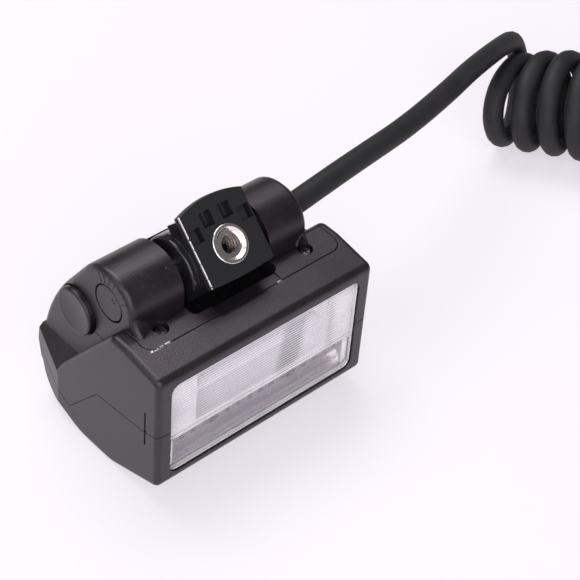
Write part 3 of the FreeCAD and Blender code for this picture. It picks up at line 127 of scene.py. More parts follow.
FRONT_COIL = {"face_turns": 9.7, "shift": 6.9 * MM, "shift_turns": 0.44}
STORED_COIL = {
    "coil_radius": 11.4 * MM, "coil_pitch": 8.3 * MM, "coil_lean": radians(12.5),
    "coil_heading": radians(-52), "coil_face": radians(-72),
    "coil_x": 133.7 * MM, "coil_y": 29.9 * MM, "coil_swell": 2.5 * MM, "coil_sag": 3.0 * MM,
    "face_turns": 4.5, "shift": 5.0 * MM, "shift_turns": 0.2,
}
FRONT_TURNS = 5.0  # up to this turn the coil is the photo's
STORED_TURNS = 9.0  # and from this one on the solids'
SWELL_TURNS = 0.5
SAG_TURNS = (0.4, 1.0, 3.0)  # the sag starts, is full, and ends
FIRST_TURN = 0.03
COIL_START = 0.05  # turns from there to the first point of the coil
LEAD_RUN = (13.8, 1.2, 0.9)  # straight run out of the gland, in millimetres
LEAD = [(53.6, 1.6, 44.9), (72.9, 5.8, 42.1), (93.8, 11.2, 40.6), (109.7, 18.0, 36.35)]
TAIL_RUNS = [(14.0, 0.0, 0.0), (15.0, 24.0, 1.2), (15.0, 46.0, 2.25), (12.0, 58.0, 0.0)]

# Stage: the camera fitted to the photo, and the lights as place and size in metres

IMAGE = 580
FOCAL = 1809.517  # pixels
SENSOR = 36.0
CAMERA_PLACE = (-0.208308, -0.233860, 0.319221)
CAMERA_FORWARD = (0.52734, 0.51693, -0.67431)
CAMERA_RIGHT = (0.74051, -0.66875, 0.06644)
FLOOR_REACH = 3.0
LIGHT_AIM = (0.02, 0, 0.02)
BACK_LIGHT = ((0.10, 0.44, 0.95), (0.85, 0.6))
LEFT_LIGHT = ((-0.95, 0.1, 0.7), (1.0, 1.0))
FRONT_LIGHT = ((-0.6, -0.95, 0.7), (1.3, 1.3))

# Colours that more than one place uses, or that the settings leave out

SHELL_SHEEN = (1.0, 0.87, 0.98)
TRAY_GREY = (0.42, 0.39, 0.42)
DUST_GREY = (0.16, 0.15, 0.16)
# pale chips at the cover's seam: wear, and painted glint
CHIP_AND_GLINT = (0.62, 0.60, 0.62)
# painted shade of the window's ribs, ledge and lamp end
RIB_SHADE_COLOR = (0.25, 0.26, 0.26)
WORN_METAL = (0.78, 0.76, 0.74)
ROOM_COLOR = (0.95, 0.90, 0.96, 1)
BACKDROP_COLOR = (0.93, 0.91, 0.96, 1)
FLOOR_GLOW = (0.955, 0.905, 0.972, 1)

GROUPS = {}
MATERIALS = {}


class HeadSettings(bpy.types.PropertyGroup):
    shell_color: bpy.props.FloatVectorProperty(
        name="Shell colour", description="Colour of the moulded shells",
        subtype="COLOR", size=3, default=(0.0080, 0.0068, 0.0082))
    shell_roughness: bpy.props.FloatProperty(
        name="Shell roughness", description="Higher is duller",
        subtype="FACTOR", default=0.34, min=0.05, max=1)
    grain_size: bpy.props.FloatProperty(
        name="Grain size", description="Fine moulded grain",
        unit="LENGTH", default=0.28 * MM)
    foot_color: bpy.props.FloatVectorProperty(
        name="Foot colour", description="Colour of the foot plate",
        subtype="COLOR", size=3, default=(0.015, 0.0142, 0.0158))
    mask_color: bpy.props.FloatVectorProperty(
        name="Mask colour", description="White mask behind the window",
        subtype="COLOR", size=3, default=(0.97, 0.95, 0.98))
    rib_pitch: bpy.props.FloatProperty(
        name="Rib pitch", description="Window's ribs, from rib to rib",
        unit="LENGTH", default=RIB_PITCH)
    rib_depth: bpy.props.FloatProperty(
        name="Rib depth", description="Depth of the window's ribs",
        unit="LENGTH", default=0.3 * MM)
    pane_bevel: bpy.props.FloatProperty(
        name="Pane bevel", description="Bevel round the window's front",
        unit="LENGTH", default=0.35 * MM)
    round_edge: bpy.props.FloatProperty(
        name="Edge rounding", description="Rounding of moulded edges",
        unit="LENGTH", default=0.22 * MM)
    thread_pitch: bpy.props.FloatProperty(
        name="Thread pitch", description="20 threads per inch",
        unit="LENGTH", default=THREAD_SHAPE["Pitch"])
    thread_depth: bpy.props.FloatProperty(
        name="Thread depth", description="Height of the thread's ridge",
        unit="LENGTH", default=THREAD_SHAPE["Depth"])
    tick_count: bpy.props.IntProperty(
        name="Tilt ticks", description="Raised ticks round the index disc", default=TICKS["Count"])
    tick_step: bpy.props.FloatProperty(
        name="Tick step", description="Angle from tick to tick",
        subtype="ANGLE", default=TICKS["Step"])
    tick_radius: bpy.props.FloatProperty(
        name="Tick radius", description="Middle of the ticks from the hinge axis",
        unit="LENGTH", default=TICKS["Radius"])


class CordSettings(bpy.types.PropertyGroup):
    diameter: bpy.props.FloatProperty(
        name="Cord diameter", description="Outside of the jacket",
        unit="LENGTH", default=5.9 * MM)
    coil_radius: bpy.props.FloatProperty(
        name="Coil radius", description="To the cord's middle",
        unit="LENGTH", default=12.7 * MM)
    coil_pitch: bpy.props.FloatProperty(
        name="Coil pitch", description="From turn to turn",
        unit="LENGTH", default=7.43 * MM)
    coil_turns: bpy.props.FloatProperty(
        name="Turns", description="Turns of the coil to its last bottom", default=11.5)
    coil_heading: bpy.props.FloatProperty(
        name="Coil heading", description="The way the coil runs, from +X",
        subtype="ANGLE", default=radians(-54.5))
    coil_face: bpy.props.FloatProperty(
        name="First turn", description="The way the first turn faces, from +X",
        subtype="ANGLE", default=radians(-70.7))
    coil_lean: bpy.props.FloatProperty(
        name="Lean", description="Lean of the turns",
        subtype="ANGLE", default=radians(19.1))
    coil_x: bpy.props.FloatProperty(
        name="Coil start X", description="Middle of the first turn",
        unit="LENGTH", default=132.06 * MM)
    coil_y: bpy.props.FloatProperty(
        name="Coil start Y", description="Middle of the first turn",
        unit="LENGTH", default=26.93 * MM)
    coil_swell: bpy.props.FloatProperty(
        name="First turn swell", description="The first turn is wider by this much",
        unit="LENGTH", default=3.56 * MM)
    coil_sag: bpy.props.FloatProperty(
        name="Sag", description="How far the first tops hang lower",
        unit="LENGTH", default=4.0 * MM)
    steps: bpy.props.IntProperty(
        name="Points per turn", description="Route points in a turn of the coil", default=20)


class StageSettings(bpy.types.PropertyGroup):
    floor_color: bpy.props.FloatVectorProperty(
        name="Floor colour", description="Pale floor",
        subtype="COLOR", size=3, default=(0.90, 0.845, 0.915))
    floor_glow: bpy.props.FloatProperty(
        name="Floor glow", description="How far the floor shows as plain white",
        subtype="FACTOR", default=0.64, min=0, max=1)
    key_power: bpy.props.FloatProperty(
        name="Key light", description="Soft light behind",
        subtype="POWER", default=9.0)
    side_power: bpy.props.FloatProperty(
        name="Side light", description="Soft light at the left",
        subtype="POWER", default=4.5)
    fill_power: bpy.props.FloatProperty(
        name="Fill light", description="Soft light in front",
        subtype="POWER", default=15.5)
    room_strength: bpy.props.FloatProperty(
        name="Room light", description="Light from all round", default=0.12)


# Node helpers


def fill(tree, node, inputs):
    """Links or sets a node's inputs by name or number."""
    for label, value in inputs.items():
        if isinstance(value, bpy.types.NodeSocket):
            tree.links.new(value, node.inputs[label])
        else:
            node.inputs[label].default_value = value


def add_node(tree, kind, inputs=None, **settings):
    """Adds a node, sets its properties, fills its inputs, gives its outputs."""
    node = tree.nodes.new(kind)
    for key, value in settings.items():
        setattr(node, key, value)
    fill(tree, node, inputs or {})
    return node.outputs


def math_node(tree, operation, *values, clamp=False):
    """Math node on sockets or numbers."""
    inputs = dict(enumerate(values))
    return add_node(tree, "ShaderNodeMath", inputs, operation=operation, use_clamp=clamp)[0]


def product(tree, first, *others):
    """All values multiplied."""
    for other in others:
        first = math_node(tree, "MULTIPLY", first, other)
    return first


def ramp(tree, value, low, high):
    """0 below low, 1 above high, straight between."""
    inputs = {"Value": value, "From Min": low, "From Max": high}
    return add_node(tree, "ShaderNodeMapRange", inputs)["Result"]


def band(tree, value, middle, half, soft):
    """1 within half of the middle, 0 beyond the soft edge."""
    aside = math_node(tree, "ABSOLUTE", math_node(tree, "SUBTRACT", value, middle))
    return ramp(tree, aside, half + soft, half)


def object_place(tree):
    """Object coordinates."""
    return add_node(tree, "ShaderNodeTexCoord")["Object"]


def split(tree, vector):
    """X, Y and Z of a vector."""
    return add_node(tree, "ShaderNodeSeparateXYZ", {"Vector": vector})


def turned_place(tree, angle):
    """Object coordinates turned about X."""
    inputs = {"Vector": object_place(tree), "Rotation": (angle, 0, 0)}
    return add_node(tree, "ShaderNodeMapping", inputs)["Vector"]


def noise(tree, vector, scale, detail=2.0, roughness=0.5):
    """Noise texture's value."""
    inputs = {"Vector": vector, "Scale": scale, "Detail": detail, "Roughness": roughness}
    return add_node(tree, "ShaderNodeTexNoise", inputs)["Fac"]


def opaque(color):
    """Colour with its alpha, or a socket as it is."""
    return color if isinstance(color, bpy.types.NodeSocket) else (*color[:3], 1)


def color_mix(tree, factor, first, second):
    """Mix of two colours, each a tuple or a socket."""
    inputs = {"Factor": factor, 6: opaque(first), 7: opaque(second)}
    return add_node(tree, "ShaderNodeMix", inputs, data_type="RGBA")[2]


def mixed_surface(tree, factor, first, second, output="Material Output"):
    """Mixes two shaders and gives the result to the tree's output."""
    mixed = add_node(tree, "ShaderNodeMixShader", {0: factor, 1: first, 2: second})[0]
    fill(tree, tree.nodes[output], {"Surface": mixed})


def add_bump(tree, shader, height, strength, distance, rounding=0.0):
    """Bump from a height, over rounded edges where a rounding is given."""
    inputs = {"Height": height, "Strength": strength, "Distance": distance}
    if rounding:
        inputs["Normal"] = add_node(tree, "ShaderNodeBevel", {"Radius": rounding}, samples=6)[0]
    fill(tree, shader, {"Normal": add_node(tree, "ShaderNodeBump", inputs)[0]})


def vary_roughness(tree, shader, value, low, high):
    """Roughness from low to high as the value goes from 0 to 1."""
    inputs = {"Value": value, "To Min": low, "To Max": high}
    fill(tree, shader, {"Roughness": add_node(tree, "ShaderNodeMapRange", inputs)["Result"]})


def scaled(color, factor):
    return tuple(factor * c for c in color)


# Shared node groups


def add_inputs(tree, inputs):
    """Inputs of a node group by name and default value."""
    for label, value in inputs.items():
        kind = {int: "NodeSocketInt", float: "NodeSocketFloat"}[type(value)]
        socket = tree.interface.new_socket(label, in_out="INPUT", socket_type=kind)
        socket.default_value = value


def new_group(name, build, inputs):
    """Shader node group with its inputs, and the float outputs that build gives by name."""
    group = bpy.data.node_groups.new(name, "ShaderNodeTree")
    add_inputs(group, inputs)
    outputs = build(group, add_node(group, "NodeGroupInput"))
    for label in outputs:
        group.interface.new_socket(label, in_out="OUTPUT", socket_type="NodeSocketFloat")
    fill(group, group.nodes.new("NodeGroupOutput"), outputs)
    return group


def moulded_grain(group, given):
    """Fine moulded grain: a height for the bump, a slow tone, and single bright specks that are painted glints."""
    where = object_place(group)
    scale = math_node(group, "DIVIDE", 1.0, given["Size"])
    glint_noise = noise(group, where, product(group, scale, 0.9), 1.0, 0.5)
    return {
        "Height": noise(group, where, scale, 3.0, 0.6),
        "Tone": noise(group, where, product(group, scale, 0.035), 3.0, 0.55),
        "Speck": ramp(group, glint_noise, 0.58, 0.70),
    }


def dust(group, given):
    """A few small pale specks of dust."""
    scale = math_node(group, "DIVIDE", 1.0, given["Spacing"])
    inputs = {"Vector": object_place(group), "Scale": scale}
    cells = add_node(group, "ShaderNodeTexVoronoi", inputs)
    return {"Mask": ramp(group, cells["Distance"], 0.035, 0.015)}


def seam_wear_and_glint(group, given):
    """Pale chipped edges at two places of the cover's front seam, a corner and a nick: wear, and painted glints of
    the seam's groove.
    """
    where = object_place(group)
    parts = split(group, where)
    near = band(group, parts["Y"], SEAM_Y, 0.22 * MM, 0.08 * MM)
    high = ramp(group, parts["Z"], SEAM_Z - 0.1 * MM, SEAM_Z + 0.1 * MM)
    corner = band(group, parts["X"], -25.0 * MM, 2.6 * MM, 0.6 * MM)
    nick = band(group, parts["X"], 10.0 * MM, 0.5 * MM, 0.2 * MM)
    places = math_node(group, "MAXIMUM", corner, nick)
    flakes = noise(group, where, math_node(group, "DIVIDE", 1.0, given["Chip"]), 3.0, 0.6)
    chips = ramp(group, flakes, 0.47, 0.53)
    return {"Mask": product(group, near, high, places, chips)}


def turned_lines(group, given):
    """Fine turned lines round the thread's axis: heights for the bump."""
    along = split(group, turned_place(group, -REST_TILT))["Z"]
    share = math_node(group, "DIVIDE", along, given["Spacing"])
    return {"Height": math_node(group, "SINE", share)}


def painted_rib_shade(group, given):
    """Painted shade on the window: thin dark lines between the ribs in place of their refraction, a dark patch
    where the ribs refract the tube's dark cap, a fainter one for the shade at the lamp's end, and dark lines at
    the ledge.
    """
    parts = split(group, object_place(group))
    above = math_node(group, "SUBTRACT", parts["Z"], given["Foot"])
    turns = math_node(group, "FRACT", math_node(group, "DIVIDE", above, given["Pitch"]))
    ribbed = ramp(group, above, 0.0, 0.1 * MM)

    # the painted dark patch leans to the right about its middle, and the painted shade at the lamp's end is a
    # fainter one
    lean = product(group, math_node(group, "SUBTRACT", above, 8 * MM), 0.16)
    aside = math_node(group, "SUBTRACT", parts["X"], lean)
    aside = math_node(group, "SUBTRACT", aside, given["Patch"])
    patch = band(group, aside, 0.0, 2.4 * MM, 1.6 * MM)
    from_end = math_node(group, "SUBTRACT", parts["X"], given["Lamp End"])
    lamp_end = product(group, band(group, from_end, 0.0, 0.3 * MM, 1.1 * MM), 0.6)
    both = math_node(group, "MAXIMUM", patch, lamp_end)
    over_foot = ramp(group, above, 0.6 * MM, 1.4 * MM)
    under_top = ramp(group, above, 16.5 * MM, 13.5 * MM)

    # two thin painted shade lines bound the step below the ribs
    edges = [band(group, above, height, 0.05 * MM, 0.06 * MM) for height in (0.0, -0.75 * MM)]
    return {
        "Lines": product(group, band(group, turns, 0.5, 0.12, 0.12), ribbed),
        "Patch": product(group, both, over_foot, under_top),
        "Ledge": math_node(group, "MAXIMUM", *edges),
    }


GROUP_MAKERS = {
    "Moulded grain": (moulded_grain, {"Size": 0.35 * MM}),
    "Dust": (dust, {"Spacing": 6 * MM}),
    "Seam wear": (seam_wear_and_glint, {"Chip": 1 / 1500}),
    "Turned lines": (turned_lines, {"Spacing": 0.12 * MM}),
    # painted shade on the window, in place of the ribs' refraction
    "Rib lines": (painted_rib_shade, {
        "Pitch": RIB_PITCH, "Foot": RIB_FOOT, "Patch": 8.2 * MM, "Lamp End": 20.6 * MM,
    }),
}


def group_node(tree, name, **values):
    """Places a shared node group in a material with its own values."""
    if name not in GROUPS:
        GROUPS[name] = new_group(name, *GROUP_MAKERS[name])
    return add_node(tree, "ShaderNodeGroup", values, node_tree=GROUPS[name])


# Materials


def new_material(name, color, roughness, metallic=0.0):
    material = bpy.data.materials.new(name)
    material.use_nodes = True
    tree = material.node_tree
    shader = tree.nodes["Principled BSDF"]
    inputs = {"Base Color": opaque(color), "Roughness": roughness, "Metallic": metallic}
    fill(tree, shader, inputs)
    return material, tree, shader


def moulded(name, color, roughness, size, strength=0.25, spread=0.08,
            used_and_glinting=False, rounding=0.0, gloss=0.5, tint=(1, 1, 1)):
    """Moulded plastic or rubber with fine grain and slow changes of tone and sheen.

    A worn one also has bright specks painted as glints of the grain, dust, and pale chips at the seam, which are
    wear and painted glint.
    """
    material, tree, shader = new_material(name, color, roughness)
    fill(tree, shader, {"Specular IOR Level": gloss, "Specular Tint": opaque(tint)})
    grain = group_node(tree, "Moulded grain", Size=size)
    lighter = tuple(min(1.0, c * 1.35 + 0.003) for c in color)
    tone = ramp(tree, grain["Tone"], 0.3, 0.7)
    base = color_mix(tree, tone, scaled(color, 0.78), lighter)
    if used_and_glinting:
        # bright specks painted as glints of the grain
        base = color_mix(tree, grain["Speck"], base, scaled(color, 3.2))
        base = color_mix(tree, group_node(tree, "Dust")["Mask"], base, DUST_GREY)
        # pale chips at the seam: wear, and painted glints of its groove
        base = color_mix(tree, group_node(tree, "Seam wear")["Mask"], base, CHIP_AND_GLINT)
    fill(tree, shader, {"Base Color": base})
    vary_roughness(tree, shader, grain["Tone"], roughness - spread, roughness + spread)
    add_bump(tree, shader, grain["Height"], strength, size * 0.25, rounding)
    return material


def mask_plastic(color):
    """White mask round the lamp, with the grey tray below it."""
    material = moulded("white_mask", color, 0.4, 0.35 * MM, 0.1)
    tree = material.node_tree
    shader = tree.nodes["Principled BSDF"]
    white = shader.inputs["Base Color"].links[0].from_socket
    parts = split(tree, object_place(tree))
    across = band(tree, parts["X"], 0.0, TRAY_REACH, 0.05 * MM)
    upright = band(tree, parts["Z"], TRAY_MIDDLE, TRAY_HALF, 0.05 * MM)
    inside = product(tree, across, upright)
    fill(tree, shader, {"Base Color": color_mix(tree, inside, white, TRAY_GREY)})
    return material


def clear_plastic(name, tint, roughness, frosted=None, weight=1.0):
    """Clear moulding that lets the light through to what lies behind it."""
    material, tree, shader = new_material(name, tint, roughness)
    fill(tree, shader, {"Transmission Weight": weight, "IOR": 1.49})
    grain = group_node(tree, "Moulded grain", Size=frosted or 1.2 * MM)
    if frosted:
        add_bump(tree, shader, grain["Height"], 0.14, 0.1 * MM)
    vary_roughness(tree, shader, grain["Tone"], roughness * 0.6, roughness * 1.6)
    clear = add_node(tree, "ShaderNodeBsdfTransparent", {"Color": opaque(scaled(tint, 0.99))})
    rays = add_node(tree, "ShaderNodeLightPath")
    shade = math_node(tree, "MAXIMUM", rays["Is Shadow Ray"], rays["Is Diffuse Ray"])
    mixed_surface(tree, shade, shader.outputs[0], clear[0])
    return material


def window_plastic(tint, rib_pitch):
    """Clear pane with painted shade: dark lines over its ribs, a darker patch and lines at the ledge, standing in
    for how the ribs refract.
    """
    material = clear_plastic("window_clear", tint, 0.03)
    tree = material.node_tree
    ribs = group_node(tree, "Rib lines", Pitch=rib_pitch)
    faint = product(tree, ribs["Lines"], 0.4)
    strong = product(tree, ribs["Lines"], ribs["Patch"])
    lines = math_node(tree, "ADD", faint, strong, clamp=True)
    share = math_node(tree, "MAXIMUM", lines, ribs["Ledge"])
    color = color_mix(tree, share, tint, RIB_SHADE_COLOR)
    fill(tree, tree.nodes["Principled BSDF"], {"Base Color": color})
    return material


def metal(name, color, roughness, metallic=1.0):
    """Plated or bare metal with a slow change of tone."""
    size = 0.5 * MM
    material, tree, shader = new_material(name, color, roughness, metallic)
    grain = group_node(tree, "Moulded grain", Size=size)
    tone = ramp(tree, grain["Tone"], 0.3, 0.7)
    base = color_mix(tree, tone, scaled(color, 0.82), color)
    fill(tree, shader, {"Base Color": base})
    add_bump(tree, shader, grain["Height"], 0.12, size * 0.2)
    return material


def foot_paint(color):
    """Matte black paint, rubbed through to bright metal along the plate's left upper edge."""
    dull, bright = 0.5, 0.28
    material, tree, shader = new_material("foot_paint", color, dull)
    fill(tree, shader, {"Specular IOR Level": 0.28})
    where = object_place(tree)
    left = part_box("foot_plate")[0].x
    edge = ramp(tree, split(tree, where)["X"], left + 0.30 * MM, left + 0.12 * MM)
    up = (0, -sin(REST_TILT), cos(REST_TILT))
    facing = add_node(tree, "ShaderNodeVectorMath", {0: where, 1: up}, operation="DOT_PRODUCT")
    top = PLATE_TOP + AXIS.z * cos(REST_TILT) - AXIS.y * sin(REST_TILT)
    upper = ramp(tree, facing["Value"], top - 0.55 * MM, top - 0.35 * MM)
    chips = ramp(tree, noise(tree, where, 900.0, 4.0, 0.7), 0.40, 0.47)
    rubbed = product(tree, edge, upper, chips)
    worn = color_mix(tree, rubbed, color, WORN_METAL)
    fill(tree, shader, {"Base Color": worn, "Metallic": rubbed})
    vary_roughness(tree, shader, rubbed, dull, bright)
    grain = group_node(tree, "Moulded grain", Size=0.3 * MM)
    add_bump(tree, shader, grain["Height"], 0.2, 0.06 * MM)
    return material


def nickel():
    """Turned nickel plating of the bush and its thread."""
    material, tree, shader = new_material("nickel", (0.84, 0.785, 0.755), 0.27, 1.0)
    add_bump(tree, shader, group_node(tree, "Turned lines")["Height"], 0.15, 0.01 * MM)
    return material


def board_laminate():
    """Green laminate with paler copper tracks."""
    material, tree, shader = new_material("board_laminate", (0.02, 0.12, 0.05), 0.35)
    bricks = add_node(tree, "ShaderNodeTexBrick", {
        "Vector": turned_place(tree, pi / 2),
        "Scale": 300.0,
        "Color1": (0.015, 0.10, 0.04, 1),
        "Color2": (0.02, 0.14, 0.06, 1),
        "Mortar": (0.08, 0.25, 0.10, 1),
    })
    fill(tree, shader, {"Base Color": bricks["Color"]})
    return material


def winding():
    """Copper wire wound on the bobbin: fine ridges along its length."""
    wire = 0.25 * MM
    material, tree, shader = new_material("winding", (0.62, 0.26, 0.10), 0.3, 0.9)
    along = split(tree, object_place(tree))["Y"]
    ridges = math_node(tree, "SINE", product(tree, along, 2 * pi / wire))
    add_bump(tree, shader, ridges, 0.6, 0.05 * MM)
    return material


def finishes(settings):
    """One material for each finish, by name."""
    grain = settings.grain_size
    shell = tuple(settings.shell_color)
    soft = settings.round_edge
    return {
        "shell": moulded("shell_plastic", shell, settings.shell_roughness, grain, 0.75, 0.05,
                         used_and_glinting=True, rounding=soft, tint=SHELL_SHEEN),
        # ticks and pointer are the shell's plastic, painted a tenth lighter as a painted glint of their edges
        "mark": moulded("tick_marks", scaled(shell, 1.1), 0.34, grain, 0.1, 0.03,
                        tint=SHELL_SHEEN),
        "inner": moulded("inner_plastic", (0.03, 0.03, 0.032), 0.5, grain),
        "gloss": moulded("gloss_block", (0.010, 0.009, 0.011), 0.16, grain, 0.05, 0.04,
                         rounding=soft),
        "mask": mask_plastic(tuple(settings.mask_color)),
        "rubber": moulded("cord_jacket", (0.013, 0.0125, 0.014), 0.6, 0.45 * MM, 0.3, 0.05,
                          gloss=0.3),
        "cap": moulded("silicone", (0.80, 0.79, 0.80), 0.45, grain),
        "component": moulded("component_body", (0.30, 0.16, 0.05), 0.35, grain),
        "screw": metal("black_screw", (0.16, 0.155, 0.165), 0.26),
        "steel": metal("bright_steel", (0.62, 0.62, 0.63), 0.25),
        "mirror": metal("reflector_metal", (0.94, 0.93, 0.95), 0.4, metallic=0.25),
        "contact": metal("contact_plating", (0.85, 0.68, 0.35), 0.22),
        "window": window_plastic((1.0, 0.985, 1.0), settings.rib_pitch),
        "guide": clear_plastic("guide_clear", (0.91, 0.88, 0.92), 0.22, frosted=0.6 * MM),
        "lamp": clear_plastic("lamp_glass", (0.97, 0.98, 1.0), 0.02),
        "tube": clear_plastic("tube_glass", (0.95, 0.94, 0.96), 0.3, weight=0.35),
        "foot": foot_paint(tuple(settings.foot_color)),
        "nickel": nickel(),
        "board": board_laminate(),
        "winding": winding(),
    }


FINISH_OF = {
    "shell": ["top_cover", "main_housing", "bottom_case", "release_button", "index_disc"],
    "inner": ["lock_bracket", "lock_slider", "plug_shell"],
    "gloss": ["foot_drum"],
    "mask": ["lamp_frame"],
    "rubber": ["cord_gland", "plug_boot"],
    "cap": ["tube_caps"],
    "component": ["trigger_capacitor", "wire_terminal"],
    "screw": ["cover_screws"],
    "steel": ["detent_spring", "button_spring", "hinge_axle", "detent_wheel"],
    "mirror": ["reflector"],
    "contact": ["plug_pins"],
    "window": ["flash_window"],
    "guide": ["light_guide"],
    "lamp": ["focus_lamps"],
    "tube": ["flash_tube"],
    "foot": ["foot_plate"],
    "nickel": ["tripod_bush"],
    "board": ["circuit_board", "focus_board"],
    "winding": ["trigger_coil"],
}


class FLASH_OT_finishes(bpy.types.Operator):
    """Materials of every piece of the frame"""

    bl_idname = "flash_head.finishes"
    bl_label = "Finishes"

    def execute(self, context):
        MATERIALS.update(finishes(context.scene.flash_head))
        for finish, names in FINISH_OF.items():
            for name in names:
                slots = NODES[name].material_slots
                if not len(slots):
                    NODES[name].data.materials.append(MATERIALS[finish])
                for slot in slots:
                    slot.material = MATERIALS[finish]
        return {"FINISHED"}


def linked(name, data):
    """New object in the scene."""
    item = bpy.data.objects.new(name, data)
    bpy.context.scene.collection.objects.link(item)
    return item


def add_piece(name, data, body, finish):
    """Links a finished piece, gives it its material and body."""
    piece = linked(name, data)
    data.materials.clear()
    data.materials.append(MATERIALS[finish])
    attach(piece, body)
    return piece


def tidy_normals(mesh):
    """Merges doubles and points the faces outward."""
    work = bmesh.new()
    work.from_mesh(mesh)
    bmesh.ops.remove_doubles(work, verts=work.verts, dist=1e-7)
    bmesh.ops.recalc_face_normals(work, faces=work.faces)
    work.to_mesh(mesh)
    work.free()


# Thread and ticks, grown by geometry nodes


def growing_tree(name, inputs):
    """Geometry tree with its inputs and a finish."""
    tree = bpy.data.node_groups.new(name, "GeometryNodeTree")
    add_inputs(tree, inputs)
    tree.interface.new_socket("Finish", in_out="INPUT", socket_type="NodeSocketMaterial")
    tree.interface.new_socket("Geometry", in_out="OUTPUT", socket_type="NodeSocketGeometry")
    return tree, add_node(tree, "NodeGroupInput")


def vector_of(tree, **parts):
    """Vector from values for X, Y and Z."""
    return add_node(tree, "ShaderNodeCombineXYZ", parts)[0]


def rectangle(tree, inputs, mode):
    """Flat section."""
    return add_node(tree, "GeometryNodeCurvePrimitiveQuadrilateral", inputs, mode=mode)[0]


def finish_tree(tree, given, geometry):
    """Realizes the instances and sets the finish."""
    real = add_node(tree, "GeometryNodeRealizeInstances", {"Geometry": geometry})[0]
    inputs = {"Geometry": real, "Material": given["Finish"]}
    coated = add_node(tree, "GeometryNodeSetMaterial", inputs)[0]
    fill(tree, tree.nodes.new("NodeGroupOutput"), {"Geometry": coated})
    return tree


def swept(tree, path, section):
    """Section along a path, closed at both ends."""
    inputs = {"Curve": path, "Profile Curve": section, "Fill Caps": True}
    return add_node(tree, "GeometryNodeCurveToMesh", inputs)[0]


def thread_tree():
    """Helical ridge with a tapered section."""
    tree, given = growing_tree("Inside thread", THREAD_SHAPE)
    depth, pitch, length = given["Depth"], given["Pitch"], given["Length"]
    middle = math_node(tree, "SUBTRACT", given["Radius"], product(tree, depth, 0.45))
    spiral = add_node(tree, "GeometryNodeCurveSpiral", {
        "Resolution": 48,
        "Rotations": math_node(tree, "DIVIDE", length, pitch),
        "Start Radius": middle,
        "End Radius": middle,
        "Height": length,
    })[0]
    steady = add_node(tree, "GeometryNodeSetCurveNormal", {"Curve": spiral}, mode="Z_UP")[0]
    section = rectangle(tree, {
        "Height": product(tree, depth, 1.1),
        "Bottom Width": product(tree, pitch, THREAD_WIDTHS[0]),
        "Top Width": product(tree, pitch, THREAD_WIDTHS[1]),
        "Offset": 0.0,
    }, "TRAPEZOID")
    return finish_tree(tree, given, swept(tree, steady, section))


def ticks_tree():
    """Short rounded bars round a circle, pointing away from its middle."""
    tree, given = growing_tree("Tilt ticks", TICKS)
    number = add_node(tree, "GeometryNodeInputIndex")[0]
    angle = math_node(tree, "ADD", product(tree, number, given["Step"]), given["First"])
    x = product(tree, given["Radius"], math_node(tree, "COSINE", angle))
    y = product(tree, given["Radius"], math_node(tree, "SINE", angle))
    inputs = {"Count": given["Count"], "Position": vector_of(tree, X=x, Y=y)}
    points = add_node(tree, "GeometryNodePoints", inputs)[0]
    half = product(tree, given["Long"], 0.5)
    ends = {"Start": vector_of(tree, X=product(tree, half, -1.0)), "End": vector_of(tree, X=half)}
    line = add_node(tree, "GeometryNodeCurvePrimitiveLine", ends)[0]
    sides = {"Width": given["Width"], "Height": given["Height"]}
    section = rectangle(tree, sides, "RECTANGLE")
    inputs = {"Curve": section, "Radius": product(tree, given["Height"], 0.4), "Count": 3}
    rounded = add_node(tree, "GeometryNodeFilletCurve", inputs, mode="POLY")[0]
    copies = add_node(tree, "GeometryNodeInstanceOnPoints", {
        "Points": points,
        "Instance": swept(tree, line, rounded),
        "Rotation": vector_of(tree, Z=angle),
    })[0]
    return finish_tree(tree, given, copies)


def grown(name, tree, values, body, finish, place):
    """Runs a geometry tree once and keeps its result as a plain mesh on a body."""
    carrier = linked(name + "_carrier", bpy.data.meshes.new(name + "_carrier"))
    modifier = carrier.modifiers.new("nodes", "NODES")
    modifier.node_group = tree
    values = dict(values, Finish=MATERIALS[finish])
    for item in tree.interface.items_tree:
        if item.item_type == "SOCKET" and item.in_out == "INPUT":
            modifier[item.identifier] = values[item.name]
    ready = carrier.evaluated_get(bpy.context.evaluated_depsgraph_get())
    mesh = bpy.data.meshes.new_from_object(ready)
    carrier.modifiers.remove(modifier)
    bpy.data.objects.remove(carrier)
    mesh.transform(place)
    mesh.name = name
    tidy_normals(mesh)
    return add_piece(name, mesh, body, finish)


class FLASH_OT_thread(bpy.types.Operator):
    """Screw thread inside the foot's bush"""

    bl_idname = "flash_head.thread"
    bl_label = "Tripod thread"

    def execute(self, context):
        head = context.scene.flash_head
        foot = Vector((0, 0, BUSH_TOP - THREAD_DROP - THREAD_SHAPE["Length"]))
        turned = Matrix.Rotation(REST_TILT, 4, "X")
        place = Matrix.Translation(AXIS) @ turned @ Matrix.Translation(foot)
        values = dict(THREAD_SHAPE, Depth=head.thread_depth, Pitch=head.thread_pitch)
        piece = grown("tripod_thread", thread_tree(), values, "foot", "nickel", place)
        for polygon in piece.data.polygons:
            polygon.use_smooth = False
        return {"FINISHED"}


class FLASH_OT_ticks(bpy.types.Operator):
    """Raised tilt ticks on the end face and the pointer on the index disc"""

    bl_idname = "flash_head.ticks"
    bl_label = "Tilt ticks"

    def execute(self, context):
        head = context.scene.flash_head
        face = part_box("index_disc")[0].x
        sideways = Matrix(((0, 0, -1, 0), (-1, 0, 0, 0), (0, 1, 0, 0), (0, 0, 0, 1)))
        place = Matrix.Translation(Vector((face, AXIS.y, AXIS.z))) @ sideways
        values = dict(TICKS, Count=head.tick_count, Radius=head.tick_radius, Step=head.tick_step)
        tree = ticks_tree()
        grown("tilt_ticks", tree, values, "head", "mark", place)
        grown("disc_pointer", tree, {**values, **POINTER}, "foot", "mark", place)
        grown("disc_pointer_foot", tree, {**values, **POINTER_FOOT}, "foot", "mark", place)
        return {"FINISHED"}


# Cover screws


